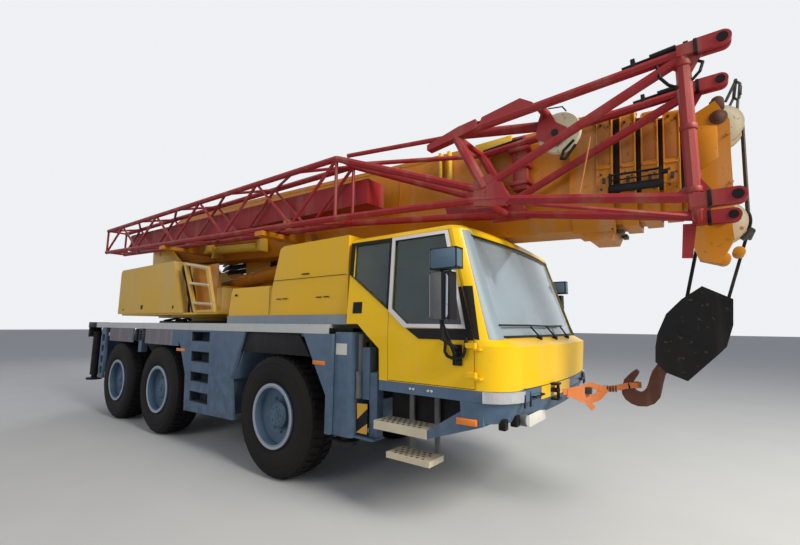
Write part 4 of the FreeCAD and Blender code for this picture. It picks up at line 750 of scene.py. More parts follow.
def make_collars():
    for number, (body, start, end, half, top) in enumerate(COLLARS):
        front = max(start, end - 0.13)
        worn, ribs, bolts = bmesh.new(), bmesh.new(), bmesh.new()
        for out in (-1, 1):
            faces = sorted((out * (half - 0.004), out * (half + 0.004)))
            add_boom_box(worn, (front + 0.016, faces[0], 0.33), (end - 0.016, faces[1], top - 0.07), 0.002)
            edge = sorted((out * (half - 0.004), out * (half + 0.009)))
            for low, high in ((front, front + 0.011), (end - 0.011, end)):
                add_boom_box(ribs, (low, edge[0], 0.05), (high, edge[1], top - 0.01), 0.002)
            add_boom_box(ribs, (front, edge[0], 0.285), (end, edge[1], 0.30), 0.002)
            for up in (0.10, 0.235, 0.70):
                add_rod(bolts, on_boom(front + 0.04, out * half, up),
                        on_boom(front + 0.04, out * (half + 0.014), up),
                        0.011, 6)
                add_rod(bolts, on_boom(end - 0.03, out * half, up - 0.03),
                        on_boom(end - 0.03, out * (half + 0.012), up - 0.03), 0.008, 6)
            add_boom_box(bolts, (front + 0.05, edge[0], 0.15), (front + 0.075, edge[1], 0.205), 0.002)
        for left in (-0.62, 0.62):
            add_boom_box(ribs, (front, left * half - 0.05, top - 0.005),
                         (end, left * half + 0.05, top + 0.045), 0.01)
            add_rod(bolts, on_boom(front - 0.002, left * half, top + 0.02),
                    on_boom(end + 0.004, left * half, top + 0.02),
                    0.014, 8)
        make_piece(f"collar_worn_patches_{number}", worn, "worn_orange", body)
        make_piece(f"collar_ribs_{number}", ribs, "boom_paint", body)
        make_piece(f"collar_bolts_{number}", bolts, "rope_wire", body)
    for number, (body, start, end, half, top) in enumerate(GAPS):
        wiper = bmesh.new()
        for out in (-1, 1):
            faces = sorted((out * (half - 0.001), out * (half + 0.004)))
            add_boom_box(wiper, (start, faces[0], 0.06), (end, faces[1], top - 0.01))
        add_boom_box(wiper, (start, -half, top - 0.002), (end, half, top + 0.004))
        make_piece(f"section_wiper_{number}", wiper, "dark_trim", body)


def make_boom_tray():
    tray = bmesh.new()
    add_boom_box(tray, (8.99, -0.425, 0.05), (9.40, -0.37, 0.098), 0.006)
    add_boom_box(tray, (9.0, -0.42, 0.10), (9.38, -0.405, 0.113), 0.002)
    for along in (8.995, 9.365):
        add_boom_box(tray, (along, -0.42, 0.05), (along + 0.022, -0.362, 0.215), 0.003)
    add_rod(tray, on_boom(9.0, -0.41, 0.20), on_boom(9.38, -0.41, 0.20), 0.010, 8)
    add_rod(tray, on_boom(9.02, -0.40, 0.155), on_boom(9.37, -0.40, 0.155), 0.006, 8)
    add_rod(tray, on_boom(9.37, -0.40, 0.17), on_boom(9.43, -0.40, 0.17), 0.022, 10)
    make_piece("boom_tray", tray, "dark_trim", "boom")
    pads = bmesh.new()
    for left in (-0.12, 0.12):
        add_boom_box(pads, (9.02, left - 0.06, -0.275), (9.07, left + 0.06, -0.235), 0.01)
    for along, left in ((8.94, -0.2), (8.94, 0.2)):
        add_rod(pads, on_boom(along, left, -0.20), on_boom(along + 0.06, left, -0.23), 0.03, 10)
    make_piece("boom_chin_rollers", pads, "rope_wire", "boom")
    plates = bmesh.new()
    for out in (-1, 1):
        low, high = sorted((out * 0.328, out * 0.334))
        for along in (2.2, 4.4, 6.6):
            add_boom_box(plates, (along, low, 0.06), (along + 0.018, high, 0.78))
        add_boom_box(plates, (0.9, low, 0.745), (8.66, high, 0.757))
    make_piece("boom_side_seams", plates, "worn_orange", "boom")


HEAD_PAD = [(4.091, 3.429), (4.273, 3.390), (4.262, 3.116), (4.165, 3.051), (4.080, 3.075)]
UPPER_SHEAVE = (4.288, 3.455)
LOWER_SHEAVE = (4.250, 2.625)
SHEAVE_RADIUS = 0.172


def add_sheave(mesh, x, z, low, high, radius=SHEAVE_RADIUS):
    """Covers over a grooved wheel's faces and rim."""
    middle = (low + high) / 2
    profile = [(low - 0.003, 0.04), (low - 0.003, radius - 0.03), (low - 0.001, radius - 0.024),
               (low - 0.001, radius),
               (low + 0.008, radius + 0.0004), (high - 0.008, radius + 0.0004), (high + 0.001, radius),
               (high + 0.001, radius - 0.024), (high + 0.003, radius - 0.03), (high + 0.003, 0.04)]
    add_lathe(mesh, [(along - middle, ring) for along, ring in profile], at(x, middle, z), steps=40)


def make_head():
    pad = bmesh.new()
    for out in (-1, 1):
        add_plate(pad, [at(x, out * 0.2215, z) for x, z in HEAD_PAD], (0, out * 0.007, 0), 0.003)
    make_piece("head_pad", pad, "boom_paint", "telescope_4")
    sheaves, hubs = bmesh.new(), bmesh.new()
    for x, z in (UPPER_SHEAVE, LOWER_SHEAVE):
        add_sheave(sheaves, x, z, 0.08, 0.13)
        add_sheave(sheaves, x, z, -0.05, -0.01)
        add_rod(hubs, at(x, -0.235, z), at(x, 0.235, z), 0.036, 20, bevel=0.004)
        for out in (-1, 1):
            add_rod(hubs, at(x, out * 0.222, z), at(x, out * 0.232, z), 0.06, 20, bevel=0.003)
    make_piece("head_sheaves", sheaves, "sheave_cream", "telescope_4")
    add_rod(hubs, at(4.29, -0.21, 3.60), at(4.29, 0.21, 3.60), 0.045, 16, bevel=0.006)
    add_box(hubs, at(4.235, -0.215, 3.53), at(4.335, -0.16, 3.61), 0.012)
    make_piece("head_pins", hubs, "hook_steel", "telescope_4")
    ropes = bmesh.new()
    for left in (0.105, -0.03):
        add_rod(ropes, at(4.448, left, 3.45), at(4.424, left, 2.66), 0.0105, 8)
    guard = [(4.345, 3.60), (4.42, 3.755), (4.446, 3.725), (4.43, 3.60)]
    for left in (-0.15, 0.15):
        add_tube(ropes, [at(x, left, z) for x, z in guard], 0.011)
    add_rod(ropes, at(4.42, -0.17, 3.755), at(4.42, 0.17, 3.755), 0.013, 8)
    add_tube(ropes, [at(4.43, -0.16, 3.73), at(4.452, -0.17, 3.69), at(4.445, -0.16, 3.62)], 0.004, 6)
    add_rod(ropes, at(4.36, -0.17, 2.44), at(4.43, -0.17, 2.52), 0.02, 8)
    add_rod(ropes, at(4.43, -0.17, 2.50), at(4.43, 0.17, 2.50), 0.016, 8)
    make_piece("head_ropes_and_guards", ropes, "rope_wire", "telescope_4")
    lugs = bmesh.new()
    for x, z, radius in ((4.165, 2.335, 0.045), (4.235, 2.30, 0.05), (4.335, 2.345, 0.04)):
        add_rod(lugs, at(x, -0.215, z), at(x, -0.05, z), radius, 14, bevel=0.006)
    for x, z in ((4.15, 2.60), (4.30, 2.62), (4.36, 2.52), (4.10, 3.50), (4.10, 2.95), (4.33, 2.90),
                 (4.34, 3.30)):
        add_rod(lugs, at(x, -0.221, z), at(x, -0.236, z), 0.014, 6)
        add_rod(lugs, at(x, 0.221, z), at(x, 0.236, z), 0.014, 6)
    make_piece("head_lugs", lugs, "boom_paint", "telescope_4")


make_collars()
make_boom_tray()
make_head()


# Jib

def make_jib_plates():
    plates = bmesh.new()
    shapes = [(-1.0, [(4.10, 3.63), (4.225, 3.64), (4.10, 3.43)]),
              (-0.43, [(4.10, 3.63), (4.225, 3.64), (4.10, 3.43)]),
              (-1.0, [(4.07, 2.84), (4.07, 2.61), (4.20, 2.62)]), (-0.43,
                                                                   [(4.07, 2.84), (4.07, 2.61),
                                                                    (4.20, 2.62)]),
              (-0.43, [(4.0, 2.56), (4.087, 2.553), (4.045, 2.287), (3.976, 2.293)]),
              (-1.0, [(3.95, 3.62), (4.08, 3.62), (4.08, 3.50)]), (-1.0,
                                                                   [(3.93, 2.61), (4.08, 2.61),
                                                                    (4.08, 2.72)])]
    for left, outline in shapes:
        add_plate(plates, [at(x, left - 0.008, z) for x, z in outline], (0, 0.016, 0))
    for left in (-1.032, -0.462):
        for x, z in ((2.49, 2.84), (2.70, 2.83), (2.48, 2.98), (2.68, 2.99)):
            add_rod(plates, at(x, left + 0.012, z), at(x, left - 0.008, z), 0.018, 6)
    cheek = [(3.057, 3.63), (3.127, 3.625), (3.18, 3.50), (3.268, 3.43), (3.256, 3.335), (3.172, 3.287),
             (3.004, 3.398),
             (3.017, 3.525)]
    for left in (-0.82, -0.735):
        add_plate(plates, [at(x, left, z) for x, z in cheek], (0, 0.012, 0))
    add_rod(plates, at(3.095, -1.0, 3.60), at(3.095, -0.43, 3.615), 0.036, 12)
    add_plate(plates, [at(x, -1.062, z) for x, z in ((2.511, 3.049), (2.666, 3.08), (2.766, 2.967),
                                                     (2.843, 2.828),
                                                     (2.779, 2.77), (2.507, 2.817))], (0, 0.014, 0), 0.003)
    add_plate(plates, [at(x, -0.47, z) for x, z in ((1.862, 3.054), (2.252, 3.009), (2.705, 2.95),
                                                    (2.848, 2.796),
                                                    (2.77, 2.779), (1.912, 2.898))], (0, 0.016, 0))
    add_plate(plates, [at(x, -1.03, z) for x, z in ((2.56, 3.59), (2.586, 3.645), (2.945, 3.705),
                                                    (3.056, 3.63),
                                                    (3.05, 3.60))], (0, 0.06, 0), 0.006)
    add_plate(plates, [at(x, -1.045, z) for x, z in ((2.0, 3.47), (2.0, 3.53), (2.347, 3.618), (2.535, 3.64),
                                                     (2.535, 3.55), (2.35, 3.52))], (0, 0.09, 0), 0.008)
    add_rod(plates, at(2.27, -0.75, 3.68), at(3.0, -0.75, 3.54), 0.045, 12)
    add_box(plates, at(2.63, -0.44, 3.10), at(2.78, -0.345, 3.66), 0.012)
    for low, high in ((3.15, 3.19), (3.32, 3.36), (3.50, 3.54)):
        add_box(plates, at(2.60, -0.465, low), at(2.81, -0.345, high), 0.006)
    for x, z in ((4.09, 3.56), (4.09, 2.66), (4.09, 3.1)):
        for left in (-1.0, -0.43):
            add_rod(plates, at(x, left, z - 0.02), at(x, left, z + 0.02), 0.052, 16, bevel=0.005)
    make_piece("jib_plates", plates, "jib_red", "boom")
    sheave = bmesh.new()
    add_lathe(sheave, [(-0.03, 0.03), (-0.03, 0.175), (-0.018, 0.18), (0.0, 0.16), (0.018, 0.18),
                       (0.03, 0.175),
                       (0.03, 0.03)], at(3.19, -0.77, 3.415), steps=40)
    make_piece("jib_sheave", sheave, "sheave_cream", "boom")
    fittings = bmesh.new()
    for left in (-1.0, -0.43):
        add_rod(fittings, at(3.72, left, 3.672), at(4.14, left, 3.70), 0.013, 8)
        add_rod(fittings, at(3.90, left, 3.69), at(4.06, left, 3.702), 0.024, 10)
        for x in (3.78, 4.10):
            add_box(fittings, at(x, left - 0.03, 3.63), at(x + 0.03, left + 0.03, 3.715), 0.004)
        add_rod(fittings, at(2.32, left, 3.60), at(2.75, left, 3.63), 0.015, 8)
        for level in (2.585, 3.65):
            for shift in (-0.052, 0.045):
                add_rod(fittings, at(4.31, left + shift, level), at(4.31, left + shift + 0.008, level),
                        0.032, 10)
            add_box(fittings, at(4.155, left - 0.05, level - 0.052), at(4.18, left + 0.05, level + 0.052),
                    0.006)
    add_tube(fittings, [at(3.94, -1.02, 3.60), at(3.955, -1.03, 3.50), at(4.0, -1.03, 3.43),
                        at(4.05, -1.01, 3.40)], 0.011)
    add_tube(fittings, [at(4.13, -1.0, 3.43), at(4.18, -1.02, 3.47), at(4.20, -1.0, 3.54),
                        at(4.15, -0.99, 3.58)], 0.010)
    add_tube(fittings, [at(3.11, -0.79, 3.66), at(3.23, -0.79, 3.64), at(3.26, -0.79, 3.59)], 0.006, 6)
    add_tube(fittings, [at(3.37, -1.045, 3.20), at(3.29, -1.05, 3.13), at(3.27, -1.05, 3.07),
                        at(3.30, -1.05, 3.06),
                        at(3.38, -1.045, 3.16)], 0.012, 8)
    add_rod(fittings, at(3.165, -0.828, 3.412), at(3.165, -0.715, 3.412), 0.03, 16)
    make_piece("jib_pins_and_cables", fittings, "block_black", "boom")
    cord = bmesh.new()
    add_tube(cord, [at(3.49, -1.05, 3.19), at(3.45, -1.05, 3.006), at(3.393, -1.05, 2.761)], 0.005, 6)
    make_piece("jib_tag_line", cord, "strap_orange", "boom")


def make_boom_brackets():
    brackets = bmesh.new()
    add_box(brackets, at(-3.62, -0.50, 3.05), at(-3.30, -0.33, 3.24), 0.015)
    add_rod(brackets, at(-3.48, -0.56, 3.16), at(-3.48, -0.33, 3.16), 0.05, 14, bevel=0.006)
    add_rod(brackets, at(-3.05, -0.40, 3.10), at(-1.75, -0.40, 3.02), 0.075, 18, bevel=0.03)
    for x in (-3.15, -1.72):
        add_box(brackets, at(x, -0.47, 2.94), at(x + 0.09, -0.30, 3.16), 0.012)
    add_box(brackets, at(2.20, -0.40, 3.59), at(2.62, -0.33, 3.72), 0.014)
    for x, level in ((1.735, 3.745), (1.85, 3.74)):
        add_box(brackets, at(x, -0.40, 3.38), at(x + 0.035, -0.335, level), 0.008)
    make_piece("boom_side_brackets", brackets, "bracket_yellow", "boom")


make_jib_plates()
make_boom_brackets()


# Door leaves and their panes

def loose_parts(mesh):
    """The mesh's separate closed parts as sets of vertices."""
    left, parts = set(mesh.verts), []
    while left:
        part, front = set(), [left.pop()]
        while front:
            vert = front.pop()
            part.add(vert)
            for edge in vert.link_edges:
                other = edge.other_vert(vert)
                if other in left:
                    left.discard(other)
                    front.append(other)
        parts.append(part)
    return parts


def split_node(name, body, chosen, *pieces):
    """Pieces as (name, finish, whether it takes the chosen parts) from a node; the first stands for it."""
    for title, finish, wanted in pieces:
        mesh = bmesh.new()
        mesh.from_mesh(nodes[name].data)
        bmesh.ops.remove_doubles(mesh, verts=mesh.verts, dist=MERGE_DISTANCE)
        spare = [vert for part in loose_parts(mesh) if chosen(part) != wanted for vert in part]
        bmesh.ops.delete(mesh, geom=spare, context="VERTS")
        make_piece(title, mesh, finish, body, replaces=(name,) if title == pieces[0][0] else ())


def split_door(name, sill, finish, body):
    """The door's leaf and its pane, which lies above the sill."""
    split_node(name, body, lambda part: min(vert.co.z for vert in part) > sill,
               (f"{name}_leaf", finish, False), (f"{name}_pane", "window_glass", True))


# The windscreen's glass is paler than the side panes'; its pale blue tint is a painted reflection of the sky
split_node("cab_glass", "root", lambda part: max(vert.co.x for vert in part) > FRONT_AXLE_X + 2.6,
           ("windscreen_pane", "screen_glass_painted_reflection", True), ("cab_side_panes", "window_glass", False))
for side in OUT:
    split_door(f"door_{side}", 1.68, "cab_paint", f"door_{side}_leaf")
split_door("operator_door", 2.08, "yellow_paint", "operator_door_leaf")


# Outriggers

def add_side_box(mesh, low, high, out, bevel=0.0):
    """A box from (forward, outward, up) corners on one side of the vehicle."""
    add_box(mesh, at(low[0], min(out * low[1], out * high[1]), low[2]),
            at(high[0], max(out * low[1], out * high[1]), high[2]), bevel)


def make_outrigger(side):
    """The jack's housing, pipes and striped plate; the left beam lies 0.161 m ahead of the right one."""
    out = OUT[side]
    shift = 0.161 if side == "left" else 0.0
    body = f"beam_front_{side}"
    shell = bmesh.new()
    plan = [(0.982, 1.03), (0.982, 1.236), (1.18, 1.236), (1.212, 1.226), (1.234, 1.20), (1.242, 1.16),
            (1.242, 1.03)]
    add_plate(shell, [at(x + shift, out * y, 0.648) for x, y in plan], (0, 0, 1.03), 0.004)
    tubes = [(1.455, 1.105, 1.02, 1.53)] if side == "left" else [(1.345, 1.105, 1.02, 1.53),
                                                                 (1.437, 1.095, 0.675, 1.29)]
    for x, y, low, high in tubes:
        add_side_box(shell, (x - 0.052, y - 0.05, low), (x + 0.052, y + 0.05, high), out, 0.008)
    reach = 1.510 if side == "left" else 1.49
    add_side_box(shell, (1.20 + shift, 1.03, 0.652), (reach, 1.20, 0.674), out, 0.003)
    make_piece(f"jack_housing_front_{side}", shell, "carrier_blue", body)
    pipe = bmesh.new()
    x, y = 1.268 + shift, out * 1.165
    add_rod(pipe, at(x, y, 1.03), at(x, y, 1.29), 0.033, 16)
    for level in (1.04, 1.155, 1.27):
        add_rod(pipe, at(x, y, level), at(x, y, level + 0.012), 0.037, 16)
    add_rod(pipe, at(x, y - out * 0.02, 1.29), at(x, y - out * 0.02, 1.66), 0.028, 14)
    make_piece(f"jack_pipes_front_{side}", pipe, "carrier_steel", body)
    plate = bmesh.new()
    low_x, high_x = 1.246 + shift, min(1.392 + shift, 1.515)
    add_side_box(plate, (low_x, 1.168, 0.695), (high_x, 1.174, 0.99), out, 0.001)
    make_piece(f"hazard_plate_{side}", plate, "dark_trim", body)
    stripes = bmesh.new()
    for shape in ([(0.05, 0.98), (1, 1), (1, 0.85), (0.1, 0.45)], [(1, 0.35), (1, 0), (0, 0)]):
        add_plate(stripes, [at(low_x + (high_x - low_x) * u, out * 1.174, 0.70 + 0.285 * v) for u,
                            v in shape],
                  (0, out * 0.0015, 0))
    make_piece(f"hazard_stripes_{side}", stripes, "hazard_yellow", body)
    blank = bmesh.new()
    add_side_box(blank, (1.0 + shift, 1.2355, 1.448), (1.155 + shift, 1.238, 1.562), out)
    make_piece(f"jack_sticker_{side}", blank, "blank_plate", body)


for side in OUT:
    make_outrigger(side)


# Carrier sides and covers

STEP_POCKETS = ((1.497, 1.635), (1.207, 1.354), (0.929, 1.062), (0.649, 0.792))


def make_step_pockets(side):
    """Painted shade in the side step pockets: a dark back and four dark walls each."""
    out = OUT[side]
    pocket_shade = bmesh.new()
    for low, high in STEP_POCKETS:
        start = -2.0 + 0.0558 * (1.635 - (low + high) / 2)
        end = start + 0.51
        walls = [((start, 1.115, low), (end, 1.12, high)),
                 ((start, 1.115, low), (start + 0.006, 1.271, high)),
                 ((end - 0.006, 1.115, low), (end, 1.271, high)), ((start, 1.115, low),
                                                                   (end, 1.271, low + 0.005)),
                 ((start, 1.115, high - 0.005), (end, 1.271, high))]
        for corner, opposite in walls:
            add_side_box(pocket_shade, corner, opposite, out)
    make_piece(f"step_pocket_shade_{side}", pocket_shade, "painted_step_shade", "root")


def make_side_fittings(side):
    out = OUT[side]
    lamps = bmesh.new()
    for start, end, low, high in ((-2.451, -2.193, 1.334, 1.375), (0.687, 0.877, 1.332, 1.373)):
        add_side_box(lamps, (start, 1.274, low), (end, 1.2785, high), out, 0.001)
    add_side_box(lamps, (2.41, 1.20, 0.962), (2.59, 1.240, 1.016), out, 0.008)
    make_piece(f"side_markers_{side}", lamps, "amber_lens", "root")
    panels = bmesh.new()
    for start, end in ((-5.275, -4.18), (-3.63, -2.62)):
        add_side_box(panels, (start, 1.2745, 1.412), (end, 1.2765, 1.652), out)
    make_piece(f"side_faded_panels_{side}", panels, "faded_purple", "root")
    arch_panel = bmesh.new()
    arch = [(-0.72, 1.650), (0.40, 1.652), (0.60, 1.405), (-0.80, 1.405)]
    add_plate(arch_panel, [at(x, out * 1.232, z) for x, z in arch], (0, out * 0.012, 0), 0.001)
    add_side_box(arch_panel, (-4.17, 0.98, 1.43), (-3.64, 1.235, 1.652), out, 0.01)
    for start in (-4.13, -3.96, -3.79):
        add_side_box(arch_panel, (start, 1.23, 1.45), (start + 0.10, 1.262, 1.63), out, 0.012)
    make_piece(f"arch_panels_{side}", arch_panel, "dark_trim", "root")
    make_step_pockets(side)
    vents = bmesh.new()
    add_side_box(vents, (-1.03, 1.2035, 2.122), (-0.975, 1.2065, 2.15), out, 0.001)
    add_side_box(vents, (0.36, 1.2035, 2.325), (0.49, 1.2065, 2.34), out)
    add_side_box(vents, (-0.243, 1.2035, 1.87), (-0.235, 1.206, 2.23), out)
    add_side_box(vents, (-0.20, 1.2035, 2.282), (1.08, 1.206, 2.288), out)
    for start in (-0.10, 0.02, 0.62, 0.74):
        add_side_box(vents, (start, 1.2035, 2.05), (start + 0.09, 1.2065, 2.062), out)
    make_piece(f"cover_vents_{side}", vents, "dark_trim", "root")


def make_ladder_rungs():
    rungs = bmesh.new()
    for start, end in (((-2.53, 2.699), (-1.86, 2.589)), ((-2.37, 2.383), (-1.78, 2.321)),
                       ((-2.21, 2.064), (-1.65, 2.034))):
        add_rod(rungs, at(start[0], -1.192, start[1]), at(end[0], -1.192, end[1]), 0.017, 8)
    make_piece("ladder_rungs", rungs, "step_cream", "superstructure")
    cables = bmesh.new()
    for shift, sway in ((-0.10, 0.05), (0.0, -0.045), (0.09, 0.035)):
        run = [(-2.76 + 0.42 * (2.72 - level) + shift + sway * math.sin(level * 9), -1.10 + 0.3 * abs(shift),
                level)
               for level in (2.72, 2.60, 2.48, 2.36, 2.24, 2.12, 2.0, 1.93)]
        add_tube(cables, [at(*place) for place in run], 0.019, 8)
    make_piece("superstructure_hoses", cables, "block_black", "superstructure")
    # The panel behind the rungs takes the darker orange boom paint as painted shade on the yellow
    # superstructure
    panel = bmesh.new()
    add_box(panel, at(-2.68, -1.0, 1.93), at(-1.90, -0.98, 2.68))
    make_piece("ladder_back_panel", panel, "boom_paint", "superstructure")
    plugs = bmesh.new()
    for out in (-1, 1):
        for x, z, radius in ((-4.99, 2.005, 0.022), (-2.885, 2.015, 0.028)):
            add_rod(plugs, at(x, out * 1.186, z), at(x, out * 1.193, z), radius, 14)
        add_side_box(plugs, (-4.17, 1.186, 2.0), (-4.08, 1.193, 2.075), out, 0.002)
    make_piece("counterweight_plugs", plugs, "dark_trim", "superstructure")
    # Black block and hoses on the deck under the counterweight: partly painted shade, filling the shadow
    # there
    fittings = bmesh.new()
    add_box(fittings, at(-4.55, -0.70, 1.706), at(-3.55, 0.20, 1.80), 0.02)
    for left in (-0.62, -0.40, -0.15):
        add_tube(fittings, [at(-4.50, left, 1.80), at(-4.1, left + 0.04, 1.84), at(-3.60, left, 1.80)], 0.022)
    make_piece("deck_rear_fittings_and_shade", fittings, "block_black", "root")


for side in OUT:
    make_side_fittings(side)
make_ladder_rungs()


# Front fittings and mirrors

def make_front_fittings():
    slots = bmesh.new()
    for left in (-0.975, 0.975):
        near = -1 if left < 0 else 1
        for shift, width in ((0.0, 0.03), (-0.10 * near, 0.035)):
            spot = on_front(left + shift, 1.17, 0.020)
            add_box(slots, spot - Vector((0.004, width / 2, 0.065)),
                    spot + Vector((0.008, width / 2, 0.065)), 0.004)
    make_piece("hood_lower_slots", slots, "dark_trim", "root")
    ends = bmesh.new()
    for out in (-1, 1):
        add_front_band(ends, [(out * 1.01, 1.146), (out * 0.86, 1.146)], 0.096, 0.021, 0.004, steps=8)
    make_piece("lamp_end_covers", ends, "carrier_blue", "root")
    handles = bmesh.new()
    for out in (-1, 1):
        add_tube(handles, [on_front(out * 0.80, 1.17, 0.0), on_front(out * 0.80, 1.175, 0.03),
                           on_front(out * 0.64, 1.18, 0.03),
                           on_front(out * 0.64, 1.18, 0.0)], 0.009, 8)
    make_piece("hood_lower_handles", handles, "block_black", "root")


MIRROR_FACE = 1.555


def make_mirror_covers(side):
    out = OUT[side]
    body = f"door_{side}_leaf"
    core = bmesh.new()
    core.from_mesh(nodes[f"mirror_{side}"].data)
    for vert in core.verts:
        vert.co.y = out * min(out * vert.co.y, MIRROR_FACE - 0.006)
    make_piece(f"mirror_arm_{side}", core, "dark_trim", body, replaces=(f"mirror_{side}",))
    upper = bmesh.new()
    add_side_box(upper, (2.357, 1.438, 2.195), (2.602, MIRROR_FACE - 0.001, 2.366), out, 0.022)
    make_piece(f"mirror_upper_cover_{side}", upper, "rim_paint", body)
    lower = bmesh.new()
    add_side_box(lower, (2.358, 1.438, 1.798), (2.47, MIRROR_FACE - 0.003, 2.177), out, 0.012)
    for x in (2.375, 2.452):
        for z in (1.815, 1.93, 2.06, 2.16):
            add_rod(lower, at(x, out * (MIRROR_FACE - 0.006), z), at(x, out * MIRROR_FACE, z), 0.007, 8)
    make_piece(f"mirror_lower_cover_{side}", lower, "carrier_steel", body)
    tube = bmesh.new()
    add_tube(tube, [at(2.505, out * 1.535, 1.80), at(2.512, out * 1.542, 1.84), at(2.518, out * 1.542, 2.13),
                    at(2.505, out * 1.535, 2.17)], 0.012)
    make_piece(f"mirror_guard_{side}", tube, "flange_paint", body)
    faces = bmesh.new()
    add_side_box(faces, (2.3545, 1.452, 2.215), (2.358, 1.543, 2.346), out)
    add_side_box(faces, (2.3545, 1.452, 1.82), (2.359, 1.543, 2.155), out)
    make_piece(f"mirror_faces_{side}", faces, "mirror_face", body)


make_front_fittings()
for side in OUT:
    make_mirror_covers(side)


# Lamps, plate and strap in front

def make_lamp_faces(side):
    amber, rings = bmesh.new(), bmesh.new()
    for mesh, forward, radius, lift in ((amber, 2.745, 0.024, 0.030), (rings, 2.745, 0.036, 0.0255),
                                        (rings, 2.83, 0.030, 0.024)):
        spot = on_side(forward, BAND_MIDDLE, side)
        near, far = on_side(forward - 0.02, BAND_MIDDLE, side), on_side(forward + 0.02, BAND_MIDDLE, side)
        away = (far - near).cross(Vector((0, 0, 1))).normalized() * -OUT[side]
        add_rod(mesh, spot + away * 0.012, spot + away * lift, radius, 20)
    make_piece(f"turn_lens_{side}", amber, "amber_lens", "root")
    make_piece(f"lamp_bowls_{side}", rings, "window_frame", "root")


def make_bumper_details():
    centre = bmesh.new()
    add_front_band(centre, [(-0.64, 1.133), (0.12, 1.133)], 0.1085, 0.001, 0.004, steps=16)
    make_piece("hood_centre_skirt", centre, "yellow_paint", "root")
    plate = bmesh.new()
    add_box(plate, at(2.846, -0.78, 0.915), at(2.852, -0.36, 1.015), 0.002)
    make_piece("front_plate_blank", plate, "blank_plate", "root")
    lamp = bmesh.new()
    for left in (-0.87, 0.87):
        add_rod(lamp, at(2.80, left, 0.99), at(2.868, left, 0.99), 0.048, 20, bevel=0.006)
    make_piece("fog_lamp_bodies", lamp, "carrier_steel", "root")
    glass = bmesh.new()
    for left in (-0.87, 0.87):
        add_rod(glass, at(2.866, left, 0.99), at(2.874, left, 0.99), 0.041, 20)
    make_piece("fog_lamp_lenses", glass, "lamp_glass", "root")
    under = bmesh.new()
    for forward, left, up in ((2.80, -0.96, 1.0), (2.75, -1.08, 0.985), (2.80, 0.96, 1.0),
                              (2.75, 1.08, 0.985)):
        add_box(under, at(forward - 0.03, left - 0.035, up - 0.05),
                at(forward + 0.03, left + 0.035, up + 0.04), 0.008)
    for left in (-0.38, -0.42):
        add_rod(under, at(2.93, left - 0.01, 1.19), at(2.995, left - 0.01, 1.19), 0.018, 12)
    add_rod(under, at(2.985, -0.395, 1.10), at(2.985, -0.395, 1.25), 0.014, 12, bevel=0.003)
    for up in (1.105, 1.235):
        add_box(under, at(2.93, -0.45, up), at(3.0, -0.34, up + 0.018), 0.004)
    make_piece("bumper_fittings", under, "block_black", "root")


def add_ribbon(mesh, places, width, thickness):
    """A flat strap through (forward, left, up) places, with its width upright."""
    places = [at(*place) for place in places]
    for start, end in zip(places, places[1:]):
        run = end - start
        turn = run.to_track_quat("X", "Z").to_matrix().to_4x4()
        place = Matrix.Translation((start + end) / 2) @ turn @ Matrix.Diagonal((run.length + 0.012,
                                                                                thickness, width, 1))
        bmesh.ops.create_cube(mesh, size=1.0, matrix=place)


def make_strap():
    strap = bmesh.new()
    add_ribbon(strap, [(3.02, -0.36, 1.172), (3.07, -0.30, 1.18), (3.13, -0.23, 1.195), (3.21, -0.15, 1.225),
                       (3.27, -0.11, 1.20)],
               0.055, 0.006)
    add_ribbon(strap, [(3.05, -0.33, 1.16), (3.14, -0.22, 1.14), (3.20, -0.15, 1.10), (3.25, -0.12, 1.12),
                       (3.31, -0.09, 1.20)],
               0.07, 0.006)
    add_ribbon(strap, [(3.10, -0.27, 1.13), (3.17, -0.18, 1.08), (3.215, -0.14, 1.02)], 0.05, 0.006)
    add_ribbon(strap, [(3.27, -0.11, 1.20), (3.34, -0.06, 1.195), (3.42, -0.045, 1.215),
                       (3.50, -0.045, 1.24), (3.56, -0.045, 1.245)],
               0.05, 0.010)
    add_ribbon(strap, [(3.56, -0.045, 1.245), (3.585, 0.0, 1.247), (3.56, 0.045, 1.245),
                       (3.48, 0.045, 1.235)], 0.05, 0.008)
    make_piece("tie_down_strap", strap, "strap_orange", "hook_assembly")
    buckle = bmesh.new()
    for along in range(5):
        add_box(buckle, at(3.30 + 0.022 * along, -0.085 + 0.006 * along, 1.17),
                at(3.312 + 0.022 * along, -0.06 + 0.006 * along, 1.225), 0.004)
    add_box(buckle, at(3.16, -0.20, 1.15), at(3.22, -0.165, 1.21), 0.006)
    make_piece("strap_ratchet", buckle, "rope_wire", "hook_assembly")


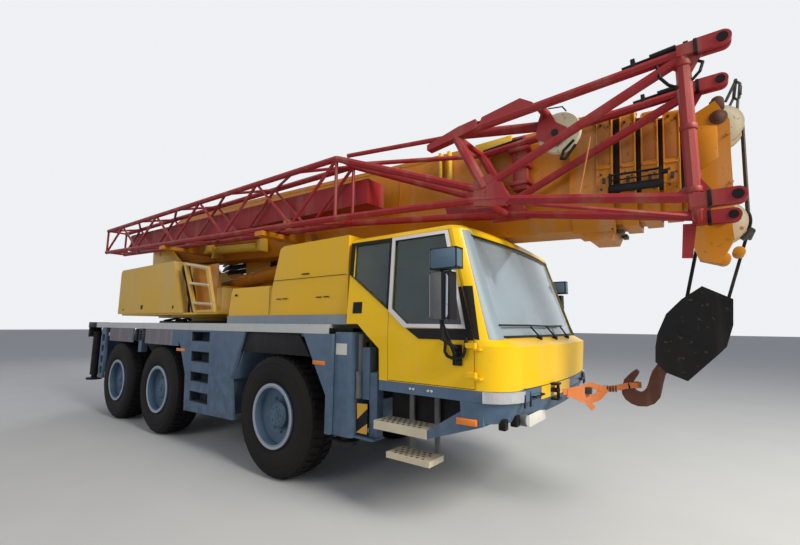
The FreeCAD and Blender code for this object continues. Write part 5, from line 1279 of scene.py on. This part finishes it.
def make_step_details():
    covers = bmesh.new()
    for forward in (1.777, 2.057):
        for out in (-1, 1):
            for low, high in ((0.614, 0.788), (0.870, 1.146)):
                add_side_box(covers, (forward, 0.977, low), (forward + 0.046, 1.003, high), out)
    make_piece("step_hangers_dark", covers, "carrier_steel", "root")
    holes = bmesh.new()
    for out in (-1, 1):
        for start, end, top in ((1.527, 2.111, 0.868), (1.682, 2.148, 0.612)):
            for row in range(4):
                for count in range(int((end - start) / 0.06) - 1):
                    place = at(start + 0.05 + 0.06 * count + 0.03 * (row % 2), out * (1.035 + 0.055 * row),
                               top - 0.001)
                    add_rod(holes, place, place + Vector((0, 0, 0.0025)), 0.013, 8)
    make_piece("step_tread_holes", holes, "dark_trim", "root")


for side in OUT:
    make_lamp_faces(side)
make_bumper_details()
make_strap()
make_step_details()

# Roof, rear end and parts behind the steps

def make_small_parts():
    aerial = bmesh.new()
    add_box(aerial, at(1.93, 0.90, 2.655), at(2.03, 1.0, 2.70), 0.01)
    add_rod(aerial, at(2.05, 0.93, 2.66), at(2.08, 0.99, 2.81), 0.006, 8)
    add_tube(aerial, [at(1.95, 0.93, 2.69), at(1.96, 0.95, 2.77), at(2.02, 0.98, 2.78),
                      at(2.04, 0.99, 2.70)], 0.006)
    make_piece("roof_aerial", aerial, "carrier_steel", "root")
    ends, backs = bmesh.new(), bmesh.new()
    for out in (-1, 1):
        add_side_box(ends, (-6.563, 1.05, 1.652), (-6.08, 1.278, 1.761), out, 0.003)
        add_side_box(ends, (-6.563, 1.05, 1.45), (-6.50, 1.27, 1.652), out, 0.003)
        add_side_box(backs, (1.52, 0.935, 0.85), (2.33, 0.941, 1.14), out)
    make_piece("deck_end_covers", ends, "dark_trim", "root")
    make_piece("step_back_panels", backs, "dark_trim", "root")
    hoses = bmesh.new()
    for number in range(8):
        up, left = 2.81 + 0.038 * number, 0.43 + 0.02 * (number % 3)
        add_tube(hoses, [at(-4.40, left + 0.05, up - 0.02), at(-4.12, left, up),
                         at(-3.80, left + 0.01, up - 0.012),
                         at(-3.47, left + 0.02, up)], 0.024)
    make_piece("upper_hoses", hoses, "block_black", "superstructure")


make_small_parts()
